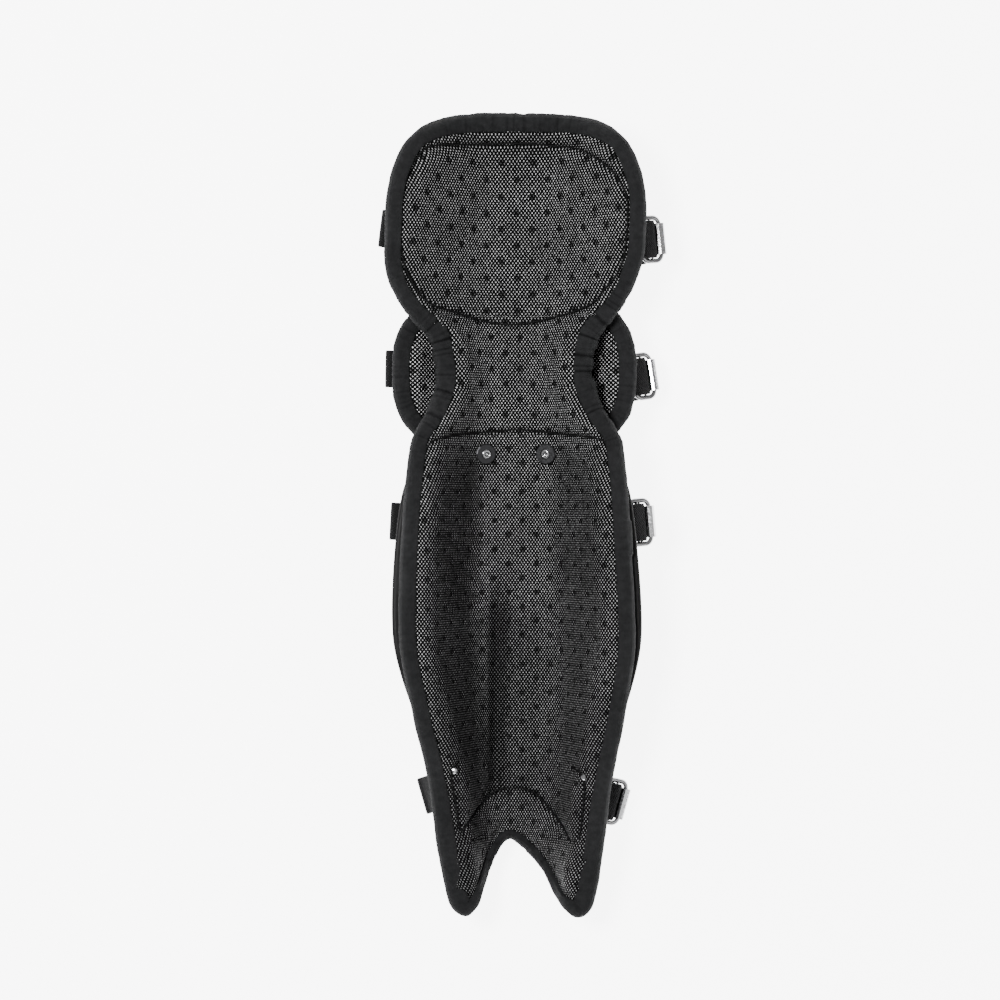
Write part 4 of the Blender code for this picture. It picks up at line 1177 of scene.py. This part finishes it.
def gather_wave(at):
    """Height of the gathers at a length along the tape, and how much of a crease it is, which sets the
    painted shade in its creases.
    """
    total = 0.0
    for wave in GATHER_WAVES:
        shift = wave.shift * noise.noise(Vector((at * wave.changes, wave.seed, 0)))
        total += wave.height * math.sin(2 * math.pi * at / wave.length + shift)
    return GATHER_PEAK * abs(total) - 1.0, math.exp(-((total / CREASE_REACH) ** 2))


def tape_swell(x, y, at, gather, wave):
    """How far each point of the tape's top stands off its plain form."""
    slack = SLACK_HEIGHT * noise.noise(Vector((at * SLACK_CHANGES, 3.5, 0)))
    joint = JOINT_RISE if x > 0 and JOINT_Y - JOINT_LENGTH < y < JOINT_Y else 0.0
    swell = []
    for j, point in enumerate(TAPE_TOP):
        inner = min(1.0, RIM_GATHER + point.share) * (SEWN_GATHER if j == 0 else 1.0)
        twist = noise.noise(Vector((at * TWIST_CHANGES, j * 0.7, 4.5)))
        swell.append(slack + joint + gather * GATHER_HEIGHT * (wave * inner + twist) + TWIST_HEIGHT * twist)
    return swell


def build_tape(name, node, plan, height, thick, widths_at, gather_at, smoothing, materials):
    """The tape folded over a pad's edge, with its gathers and painted shade in their creases."""
    line, step = edge_line(plan, TAPE_STEP, smoothing)
    tangents = np.roll(line, -1, axis=0) - np.roll(line, 1, axis=0)
    tangents /= np.linalg.norm(tangents, axis=1, keepdims=True)
    into = np.stack((-tangents[:, 1], tangents[:, 0]), axis=1)
    widths = averaged(np.array([widths_at(x, y) for x, y in line]), 8)
    widths = np.minimum(widths, inner_room(tangents, step))
    sections, crease_shade = [], []
    for k, (x, y) in enumerate(line):
        at = k * step
        gather = gather_at(x, y)
        wave, crease = gather_wave(at)
        # Painted shade in the gathers' creases
        crease_shade.append(gather * crease)
        swell = tape_swell(x, y, at, gather, wave)
        sections.append(tape_section(x, y, into[k], widths[k], height, thick, swell))
    count, across = len(sections), len(sections[0])
    faces = tube_faces(count, across, True)
    points = [p for section in sections for p in section]
    made = new_piece(name, points, faces, "binding_tape", materials["tape"], node)
    reach = [0.0]
    for a, b in zip(sections[0], sections[0][1:]):
        reach.append(reach[-1] + (b - a).length)
    uv = np.array([(i * step, d) for i in range(count) for d in reach])
    set_uv(made.data, "tape", uv)
    set_shade(made.data, np.repeat(crease_shade, across))


# Width of the liner's tape on its inner face: round the foot's arch, along the sides, and what the
# neck and the foot add to the sides
ARCH_TAPE, SIDE_TAPE, WIDER_TAPE = 0.0042, 0.0082, 0.0022
ARCH_X, ARCH_HALF, ARCH_TOP = 0.0027, 0.030, 0.056


def liner_tape_width(x, y):
    """Width of the liner's tape at a point of the edge."""
    if abs(x - ARCH_X) < ARCH_HALF and y < ARCH_TOP:
        return ARCH_TAPE
    at_neck = soft_step(y, 0.325, 0.350) * (1 - soft_step(y, 0.395, 0.415))
    at_foot = 1 - soft_step(y, 0.040, 0.110)
    return float(SIDE_TAPE + WIDER_TAPE * at_neck + WIDER_TAPE * at_foot)


def liner_gather(x, y):
    """The tape gathers where it turns in at the neck, and a little at the knee's top and foot's arch."""
    neck = float(hump(y - 0.372, 0.038))
    top = 0.30 * float(hump(y - 0.538, 0.004))
    arch = 0.35 * float(hump(y - 0.045, 0.012)) * (1 if abs(x) < 0.02 else 0)
    return min(1.0, neck + arch + top + 0.08)


def shell_span(rows):
    """First and last v of a shell, from the rows of the part's grid that it covers."""
    first, last = FOOT_CORNER + FOOT_BINDING, TOP_CORNER - BINDING_WIDTH
    ys = [first + (last - first) * (row - 1) / PART_ROWS for row in rows]
    return [(y - FOOT_CORNER) / (TOP_CORNER - FOOT_CORNER) for y in ys]


# How far in a shell's edge is rounded, and how thick the very edge is, a share of the whole
SHELL_ROUND = 0.0022
SHELL_EDGE = 0.15


def shell_solid(name, node, plan, height, depth, rows, columns, materials):
    """A moulded shell behind a pad, thinned and rounded towards its edges."""
    inner, downs = [], []
    for row in plan_grid(plan, rows - 1, columns - 1):
        for x, y in row:
            surface = below(height, x, y, 0)
            down = (below(height, x, y, 0.001) - surface).normalized()
            inner.append(tuple(surface + down * depth(x, y)))
            downs.append(tuple(down))
    grid = np.array(inner).reshape(rows, columns, 3)
    down = np.array(downs).reshape(rows, columns, 3)
    rounding = np.sqrt(1 - (1 - np.clip(edge_distances(grid) / SHELL_ROUND, 0, 1)) ** 2)
    half = SHELL_THICK / 2 * (SHELL_EDGE + (1 - SHELL_EDGE) * rounding)
    centre = grid + down * SHELL_THICK / 2
    upper, lower = centre - down * half[..., None], centre + down * half[..., None]
    points = np.concatenate((upper.reshape(-1, 3), lower.reshape(-1, 3)))
    new_piece(name, points, closed_grid(rows, columns), "hard_shell", materials["shell"], node)


def rounded(w, ends, power):
    """Share of a shell's width at w from -1 to 1 along it: its ends' share, and how square they are."""
    return max(1 - abs(w) ** power, 0) ** 0.25 * (1 - ends) + ends


def along_liner(rows, half_at, ends, power):
    """Plan of a shell on the liner, from the rows that it covers and its half width at each height."""
    first, last = shell_span(rows)

    def plan(u, v):
        at = first + (last - first) * v
        y = FOOT_CORNER + (TOP_CORNER - FOOT_CORNER) * at
        share = half_at(y) / side_half(y) * rounded(2 * v - 1, ends, power)
        return liner_plan(u * share, at)

    return plan


def knee_shell_half(y):
    return side_half(y) - KNEE_SHELL_INSET


def instep_shell_half(y):
    return INSTEP_SHARE * side_half(y)


def mid_plan(u, v):
    """Plan of the middle shell: an oval behind the wings, with a tongue up and one down."""
    up = (2 * v - 1) * TONGUE_END
    body = wing_half_at(up / WING_HALF_HEIGHT) - MID_SHELL_INSET
    tongue = soft_step(abs(up), WING_HALF_HEIGHT - TONGUE_BLEND, TONGUE_START)
    return WING_LEAN + u * (body * (1 - tongue) + TONGUE_HALF * tongue), WING_Y + up


def build_shells(materials):
    knee = along_liner(KNEE_SHELL_ROWS, knee_shell_half, 0.55, 6.0)
    shin = along_liner(SHIN_SHELL_ROWS, shin_shell_half, 0.80, 14.0)
    instep = along_liner(INSTEP_SHELL_ROWS, instep_shell_half, 0.75, 6.0)
    for name, node, plan, height, depth, rows, columns in (
        ("knee_cap", "knee_shell", knee, liner_height, shell_on_liner_depth, 60, 120),
        ("shin_plate", "shin_shell", shin, liner_height, shell_on_liner_depth, 200, 130),
        ("instep_plate", "instep_shell", instep, liner_height, instep_depth, 80, 90),
        ("mid_plate", "mid_shell", mid_plan, wing_height, mid_depth, 130, 150),
    ):
        shell_solid(name, node, plan, height, depth, rows, columns, materials)


def web_counts(rows, step):
    """How many short steps each stretch of a strap's middle line is cut into."""
    middle_line = [row[1] for row in rows]
    return [max(1, int((b - a).length / step)) for a, b in zip(middle_line, middle_line[1:])]


def web_columns(rows, step):
    """The three lines of a strap, with as many points in each so that they stay side by side."""
    counts = web_counts(rows, step)
    columns = []
    for which in range(3):
        line = [Vector(row[which]) for row in rows]
        out = []
        for k, count in enumerate(counts):
            b, c = line[k], line[k + 1]
            a = line[k - 1] if k else 2 * b - c
            d = line[k + 2] if k + 2 < len(line) else 2 * c - b
            length = (c - b).length
            slope_b = (c - a) / max(length + (b - a).length, 1e-9) * length
            slope_c = (d - b) / max((d - c).length + length, 1e-9) * length
            for n in range(count):
                t = n / count
                point = b * (2 * t**3 - 3 * t**2 + 1) + slope_b * (t**3 - 2 * t**2 + t)
                out.append(point + c * (3 * t**2 - 2 * t**3) + slope_c * (t**3 - t**2))
        out.append(line[-1])
        columns.append(out)
    return columns


# The webbing's section: places across it, shares of its half width, and how much of its thickness is there
WEB_ACROSS = (-1.0, -0.985, -0.93, -0.6, -0.2, 0.2, 0.6, 0.93, 0.985, 1.0)
WEB_EDGE = (0.30, 0.62, 0.93, 1.0, 1.0, 1.0, 1.0, 0.93, 0.62, 0.30)


def build_web(name, node, rows, materials):
    """A woven strap with rounded edges along the part's own rows."""
    left, centre, right = web_columns(rows, WEB_STEP)
    count = len(centre)
    upper, lower, uv = [], [], []
    at = 0.0
    for k in range(count):
        after, before = centre[min(k + 1, count - 1)], centre[max(k - 1, 0)]
        run = (after - before).normalized()
        side = (right[k] - left[k]).normalized()
        normal = side.cross(run).normalized()
        mid = centre[k] + normal * (WEB_THICK / 2)
        if k:
            at += (centre[k] - centre[k - 1]).length
        for share, full in zip(WEB_ACROSS, WEB_EDGE):
            half = WEB_THICK / 2 * full
            flat = mid + side * (WEB_WIDTH / 2 * share)
            upper.append(flat + normal * half)
            lower.append(flat - normal * half)
            uv.append((at, share * WEB_WIDTH / 2))
    columns = len(WEB_ACROSS)
    faces = [f[::-1] for f in closed_grid(count, columns)]
    made = new_piece(name, upper + lower, faces, "webbing", materials["webbing"], node)
    set_uv(made.data, "web", uv + uv)
    face_outward(made.data)


def build_straps(materials):
    """The four straps and the four tabs."""
    for strap in STRAPS:
        build_web(f"web_{strap.name}", f"strap_{strap.name}", strap_rows(strap), materials)
        build_web(f"web_tab_{strap.name}", f"tab_{strap.name}", tab_rows(strap), materials)


def swept(path, closed, section, normal):
    """Points and faces of a section of (across, up) pairs carried along a path that lies in one plane."""
    points = []
    count = len(path)
    for k, here in enumerate(path):
        if closed:
            run = path[(k + 1) % count] - path[k - 1]
        else:
            run = path[min(k + 1, count - 1)] - path[max(k - 1, 0)]
        side = run.normalized().cross(normal)
        points += [here + side * a + normal * b for a, b in section]
    return points, tube_faces(count, len(section), closed)


def rod_section(half_wide, half_thick, sides=20):
    """A flattened round, as the photograph's rods are."""
    turns = [2 * math.pi * n / sides for n in range(sides)]
    return [(half_wide * math.cos(t), half_thick * math.sin(t)) for t in turns]


def build_frame(strap, materials):
    """A frame of flattened rod with wide corners, and its middle bar."""
    rod = FRAME_BAR / 2
    half_x, half_y = FRAME_DEPTH / 2 - rod, FRAME_LENGTH / 2 - rod
    centre_x = rod - FRAME_DEPTH / 2
    path = []
    for corner, (sign_x, sign_y) in enumerate(((1, 1), (-1, 1), (-1, -1), (1, -1))):
        middle_x, middle_y = sign_x * (half_x - FRAME_ROUND), sign_y * (half_y - FRAME_ROUND)
        turned = arc(middle_x, middle_y, FRAME_ROUND, 90 * corner, 90 * corner + 90, 8)
        path += [Vector((centre_x + x, y, 0)) for x, y in turned]
    up = Vector((0, 0, 1))
    ring = swept(path, True, rod_section(rod, FRAME_THICK / 2), up)
    bar_path = [Vector((centre_x, y, 0)) for y in (-half_y, 0, half_y)]
    bar = swept(bar_path, False, rod_section(CENTRE_BAR / 2, CENTRE_BAR / 2), up)
    points = ring[0] + bar[0]
    faces = ring[1] + shifted_faces(bar[1], len(ring[0]))
    matrix = metal_frame_matrix(strap)
    points = [matrix @ p for p in points]
    made = new_piece(f"ring_{strap.name}", points, faces, "chrome", materials["ring"], f"frame_{strap.name}")
    face_outward(made.data)


# A rivet head's radius and height, from its foot over its rolled rim into its pit
RIVET_PROFILE = (
    (0.0030, 0.0), (0.0034, 0.0013), (0.0033, 0.0017), (0.0028, 0.0021), (0.0021, 0.0023),
    (0.0016, 0.0021), (0.0013, 0.0015), (0.0009, 0.0012), (0.0001, 0.0012),
)


def build_rivet_head(fixing, materials):
    """A rivet's rolled head that fills the washer's hole, with a small pit in its middle."""
    x, y = fixing.x * KNEE_HALF, fixing.y * LENGTH
    low = below(liner_height, x, y, -WASHER_LIFT)
    matrix = facing(low, (low - below(liner_height, x, y, 0)).normalized())
    sides = 40
    points = []
    for radius, height in RIVET_PROFILE:
        for n in range(sides):
            turn = 2 * math.pi * n / sides
            points.append(matrix @ Vector((radius * math.cos(turn), radius * math.sin(turn), height)))
    faces = tube_faces(len(RIVET_PROFILE), sides, False)
    name, node = f"rivet_head_{fixing.name}", f"screw_{fixing.name}"
    made = new_piece(name, points, faces, "chrome", materials["chrome"], node)
    face_outward(made.data)


# The part's own metal that shows: how far its edges are rounded, and its finish
Metal = namedtuple("Metal", "name rounding finish")
STRAP_METAL = (
    Metal("adjuster", 0.0007, "chrome"),
    Metal("hook", 0.00035, "hook"),
    Metal("strap_rivet", 0.0002, "chrome"),
    Metal("tab_rivet", 0.0002, "chrome"),
)
SHIN_METAL = (Metal("ankle_rivet", 0.0001, "chrome"), Metal("washer", 0.00015, "washer"))
# Edges sharper than the first angle are rounded, and those sharper than the second are shaded sharp
BEVEL_ANGLE = math.radians(32)
SHARP_ANGLE = math.radians(50)


def soften_metal(node, width, finish):
    """Rounds the edges of a CAD piece of metal and gives it its finish."""
    made = frame["nodes"][node]
    bevel = made.modifiers.new("rounding", "BEVEL")
    bevel.width = width
    bevel.segments = 3
    bevel.limit_method = "ANGLE"
    bevel.angle_limit = BEVEL_ANGLE
    made.data.materials.clear()
    made.data.materials.append(finish)
    for face in made.data.polygons:
        face.use_smooth = True
    made.data.set_sharp_from_angle(angle=SHARP_ANGLE)


def dress_metal(materials):
    """New frames and rivet heads, and the other metal as the part has it, with rounded edges."""
    for strap in STRAPS:
        build_frame(strap, materials)
        for metal in STRAP_METAL:
            soften_metal(f"{metal.name}_{strap.name}", metal.rounding, materials[metal.finish])
    for fixing in SCREWS:
        build_rivet_head(fixing, materials)
    for side in ("left", "right"):
        for metal in SHIN_METAL:
            soften_metal(f"{metal.name}_{side}", metal.rounding, materials[metal.finish])


class Nodes:
    """A material's nodes, made and joined in short calls."""

    def __init__(self, name):
        self.material = bpy.data.materials.new(name)
        self.material.use_nodes = True
        self.tree = self.material.node_tree
        self.shader = self.tree.nodes["Principled BSDF"]

    def add(self, kind, **values):
        node = self.tree.nodes.new(kind)
        for key, value in values.items():
            setattr(node, key, value)
        return node

    def join(self, source, target):
        self.tree.links.new(source, target)

    def feed(self, socket, value):
        if isinstance(value, (int, float)):
            socket.default_value = value
        else:
            self.join(value, socket)

    def math(self, operation, a, b=0.0):
        node = self.add("ShaderNodeMath", operation=operation)
        self.feed(node.inputs[0], a)
        self.feed(node.inputs[1], b)
        return node.outputs[0]

    def ramp(self, value, low, high, to_low=0.0, to_high=1.0):
        node = self.add("ShaderNodeMapRange", interpolation_type="SMOOTHSTEP")
        self.feed(node.inputs["Value"], value)
        for key, number in (("From Min", low), ("From Max", high), ("To Min", to_low), ("To Max", to_high)):
            node.inputs[key].default_value = number
        return node.outputs["Result"]

    def noise(self, scale, detail=2.0):
        node = self.add("ShaderNodeTexNoise")
        node.inputs["Scale"].default_value = scale
        node.inputs["Detail"].default_value = detail
        self.join(self.add("ShaderNodeTexCoord").outputs["Object"], node.inputs["Vector"])
        return node.outputs["Fac"]

    def uv(self, name):
        node = self.add("ShaderNodeSeparateXYZ")
        self.join(self.add("ShaderNodeUVMap", uv_map=name).outputs["UV"], node.inputs[0])
        return node.outputs[0], node.outputs[1]

    def mix(self, share, low, high):
        node = self.add("ShaderNodeMix", data_type="RGBA")
        self.feed(node.inputs["Factor"], share)
        node.inputs[6].default_value = (*low, 1)
        node.inputs[7].default_value = (*high, 1)
        return node.outputs[2]

    def bump(self, height, distance, strength=1.0):
        node = self.add("ShaderNodeBump")
        node.inputs["Distance"].default_value = distance
        node.inputs["Strength"].default_value = strength
        self.join(height, node.inputs["Height"])
        self.join(node.outputs["Normal"], self.shader.inputs["Normal"])

    def lattice(self, u, v):
        """A staggered lattice of bumps, 1 at its points and -1 between them."""
        across = self.math("COSINE", self.math("MULTIPLY", u, 2 * math.pi))
        along = self.math("COSINE", self.math("MULTIPLY", v, 2 * math.pi))
        return self.math("MULTIPLY", across, along)

    def waves(self, value, length):
        return self.math("SINE", self.math("MULTIPLY", value, 2 * math.pi / length))

    def shade(self):
        """The painted shade that the mesh carries, from 0 to 1."""
        return self.add("ShaderNodeAttribute", attribute_name="shade").outputs["Fac"]

    def colour(self, share, low, high):
        self.join(self.mix(share, low, high), self.shader.inputs["Base Color"])

    def finish(self, roughness, specular=0.5, metallic=0.0):
        self.feed(self.shader.inputs["Roughness"], roughness)
        self.shader.inputs["Specular IOR Level"].default_value = specular
        self.shader.inputs["Metallic"].default_value = metallic


def air_mesh(name, light):
    """Knitted air mesh: light crossings of shiny yarn over dark pores, tufted into dimples darkened with
    painted shade, and darkened where the mesh carries painted shade.
    """
    make = Nodes(name)
    u, v = make.uv("threads")
    wobble = make.math("MULTIPLY", make.math("SUBTRACT", make.noise(900.0, 1.0), 0.5), 0.35)
    threads = make.lattice(make.math("ADD", u, wobble), v)
    dots = make.lattice(*make.uv("dots"))
    knot = make.ramp(threads, 0.34, 0.84)
    knot = make.math("MULTIPLY", knot, make.ramp(make.noise(1400.0, 2.0), 0.30, 0.66, 0.25, 1.0))
    knot = make.math("MULTIPLY", knot, make.ramp(make.noise(22.0, 3.0), 0.25, 0.75, 0.75, 1.1))
    tuft = make.ramp(dots, 0.66, 0.92)
    # Painted shade: the yarn is darkened in the tufts' dimples and by the shade painted on the mesh
    dark = make.math("MAXIMUM", make.math("MULTIPLY", tuft, 0.86), make.math("MULTIPLY", make.shade(), 0.85))
    knot = make.math("MULTIPLY", knot, make.math("SUBTRACT", 1.0, dark))
    make.colour(knot, (0.0016, 0.0016, 0.0017), (light, light, light * 1.01))
    make.finish(make.ramp(threads, -0.2, 0.9, 0.85, 0.48), specular=0.04)
    pores = make.ramp(threads, -0.9, 0.3)
    make.bump(make.math("SUBTRACT", pores, make.math("MULTIPLY", tuft, 0.6)), 0.0005, 0.7)
    return make.material


def tape_cloth():
    """Matte binding tape: a fine cross-ribbed weave with a worn, uneven black, and painted shade in the
    creases of its gathers.
    """
    make = Nodes("tape_cloth")
    along, across = make.uv("tape")
    weave = make.math("MULTIPLY", make.waves(along, 0.0009), make.waves(across, 0.0007))
    mottle = make.noise(240.0, 4.0)
    worn = make.ramp(mottle, 0.25, 0.75, 0.6, 1.0)
    tone = make.math("MULTIPLY", worn, make.ramp(make.noise(28.0, 2.0), 0.2, 0.8, 0.7, 1.0))
    # Painted shade in the gathers' creases darkens the tone
    tone = make.math("SUBTRACT", tone, make.math("MULTIPLY", make.shade(), 0.9))
    make.colour(tone, (0.0050, 0.0051, 0.0053), (0.021, 0.0213, 0.022))
    make.finish(0.85, specular=0.05)
    make.bump(make.math("ADD", weave, make.math("MULTIPLY", mottle, 1.2)), 0.00022, 0.7)
    return make.material


def webbing_cloth():
    """Polypropylene webbing: herringbone ribs along it and fine picks across."""
    make = Nodes("webbing_cloth")
    along, across = make.uv("web")
    slant = make.math("PINGPONG", across, 0.0032)
    ribs = make.waves(make.math("ADD", along, slant), 0.0016)
    cords = make.math("ADD", make.math("MULTIPLY", make.waves(across, 0.0011), 0.4), 0.8)
    weave = make.math("MULTIPLY", ribs, cords)
    worn = make.math("MULTIPLY", make.noise(300.0), 0.2)
    tone = make.math("ADD", make.ramp(weave, -1.0, 1.0, 0.15, 0.85), worn)
    make.colour(tone, (0.003, 0.003, 0.0032), (0.014, 0.014, 0.0145))
    make.finish(make.ramp(weave, -1.0, 1.0, 0.9, 0.7), specular=0.06)
    make.bump(weave, 0.0003, 0.8)
    return make.material


def shell_plastic():
    """Moulded black plastic with a faint grain and fine scuffs."""
    make = Nodes("shell_plastic")
    scuff = make.noise(60.0, 6.0)
    make.colour(make.ramp(scuff, 0.45, 0.7), (0.005, 0.005, 0.0052), (0.012, 0.012, 0.0125))
    make.finish(make.ramp(scuff, 0.3, 0.75, 0.42, 0.58), specular=0.10)
    make.bump(make.noise(1600.0, 2.0), 0.00005, 0.5)
    return make.material


def plated_steel(name, light, rough_low, rough_high):
    """Plated steel with fine marks."""
    make = Nodes(name)
    marks = make.noise(700.0, 5.0)
    make.colour(make.ramp(marks, 0.35, 0.65), tuple(c * 0.8 for c in light), light)
    make.finish(make.ramp(marks, 0.3, 0.7, rough_low, rough_high), metallic=1.0)
    make.bump(marks, 0.00003, 0.4)
    return make.material


def thread_finish():
    """Black sewing thread."""
    make = Nodes("thread")
    twist = make.noise(2500.0, 2.0)
    make.colour(twist, (0.002, 0.002, 0.0021), (0.006, 0.006, 0.0062))
    make.finish(0.8, specular=0.1)
    make.bump(twist, 0.0001, 0.5)
    return make.material


def floor_finish():
    """A floor that glows, so that it is as pale as the photograph's background."""
    make = Nodes("pale_floor")
    make.shader.inputs["Emission Color"].default_value = (1, 1, 1, 1)
    make.shader.inputs["Emission Strength"].default_value = FLOOR_GLOW
    make.colour(make.noise(3.0, 2.0), (0.93, 0.93, 0.93), (0.95, 0.95, 0.95))
    make.finish(0.9)
    return make.material


# The stage: the floor's half width, the lights' places, sizes and power, and the camera, which stands
# so that the guard's outline, at OUTLINE_HEIGHT, has the photograph's scale
FLOOR_REACH = 4.0
FLOOR_GLOW = 6.5
WORLD_LIGHT = 0.50
Light = namedtuple("Light", "name place size power")
LIGHTS = (Light("key", (-0.55, 0.25, 1.9), 0.5, 62.0), Light("fill", (1.4, -0.5, 1.2), 1.2, 6.0))
CAMERA_HEIGHT = 2.2
OUTLINE_HEIGHT = 0.065
PHOTO_PIXELS = 1000
SENSOR_WIDTH = 36.0


def build_floor():
    mesh = bpy.data.meshes.new("floor")
    corners = [(x * FLOOR_REACH, y * FLOOR_REACH, 0) for x, y in ((-1, -1), (1, -1), (1, 1), (-1, 1))]
    mesh.from_pydata(corners, [], [(0, 1, 2, 3)])
    mesh.materials.append(floor_finish())
    floor = bpy.data.objects.new("floor", mesh)
    bpy.context.scene.collection.objects.link(floor)


def build_lights():
    """An even white world, a soft key light from the upper left and a weak fill from the right."""
    world = bpy.data.worlds.new("studio")
    world.use_nodes = True
    world.node_tree.nodes["Background"].inputs["Color"].default_value = (1, 1, 1, 1)
    world.node_tree.nodes["Background"].inputs["Strength"].default_value = WORLD_LIGHT
    bpy.context.scene.world = world
    for light in LIGHTS:
        data = bpy.data.lights.new(light.name, "AREA")
        data.shape = "DISK"
        data.size = light.size
        data.energy = light.power
        lamp = bpy.data.objects.new(light.name, data)
        bpy.context.scene.collection.objects.link(lamp)
        lamp.location = light.place
        lamp.rotation_euler = (-Vector(light.place)).to_track_quat("-Z", "Y").to_euler()


def build_camera():
    """The camera straight above the guard, with the photograph's frame."""
    data = bpy.data.cameras.new("camera")
    data.sensor_width = SENSOR_WIDTH
    data.lens = SENSOR_WIDTH * (CAMERA_HEIGHT - OUTLINE_HEIGHT) / (PHOTO_PIXELS * PIXEL)
    camera = bpy.data.objects.new("camera", data)
    bpy.context.scene.collection.objects.link(camera)
    x, y = from_photo(PHOTO_PIXELS / 2, PHOTO_PIXELS / 2)
    camera.location = (x + SHIFT.x, y + SHIFT.y, CAMERA_HEIGHT)
    bpy.context.scene.camera = camera


def main():
    materials = {
        "air_mesh": air_mesh("air_mesh", 0.62),
        # The wings' mesh is the lining's mesh with lighter yarn: painted light where the wings lie in the
        # neck's shade
        "wing_mesh_painted_light": air_mesh("wing_mesh_painted_light", 0.95),
        "thread": thread_finish(),
        "tape": tape_cloth(),
        "webbing": webbing_cloth(),
        "shell": shell_plastic(),
        "chrome": plated_steel("chrome", (0.40, 0.40, 0.41), 0.10, 0.22),
        # The frames' plated steel is a darker copy of the chrome: painted dark reflections in its colour
        "ring": plated_steel("ring_chrome", (0.30, 0.30, 0.305), 0.14, 0.26),
        "hook": plated_steel("hook_chrome", (0.50, 0.50, 0.51), 0.12, 0.25),
        "washer": plated_steel("washer_steel", (0.040, 0.040, 0.042), 0.30, 0.45),
    }
    build_liner(materials)
    build_seams(materials)
    build_wings(materials)
    build_tape(
        "liner_tape", "liner_binding", liner_plan, liner_height, RIM_THICK,
        liner_tape_width, liner_gather, LINER_SMOOTHING, materials,
    )
    build_tape(
        "wing_tape", "wing_binding", wing_plan, wing_height, WING_RIM_THICK,
        lambda x, y: WING_BINDING_WIDTH, lambda x, y: WING_GATHER, WING_SMOOTHING, materials,
    )
    build_shells(materials)
    build_straps(materials)
    dress_metal(materials)
    build_floor()
    build_lights()
    build_camera()


main()
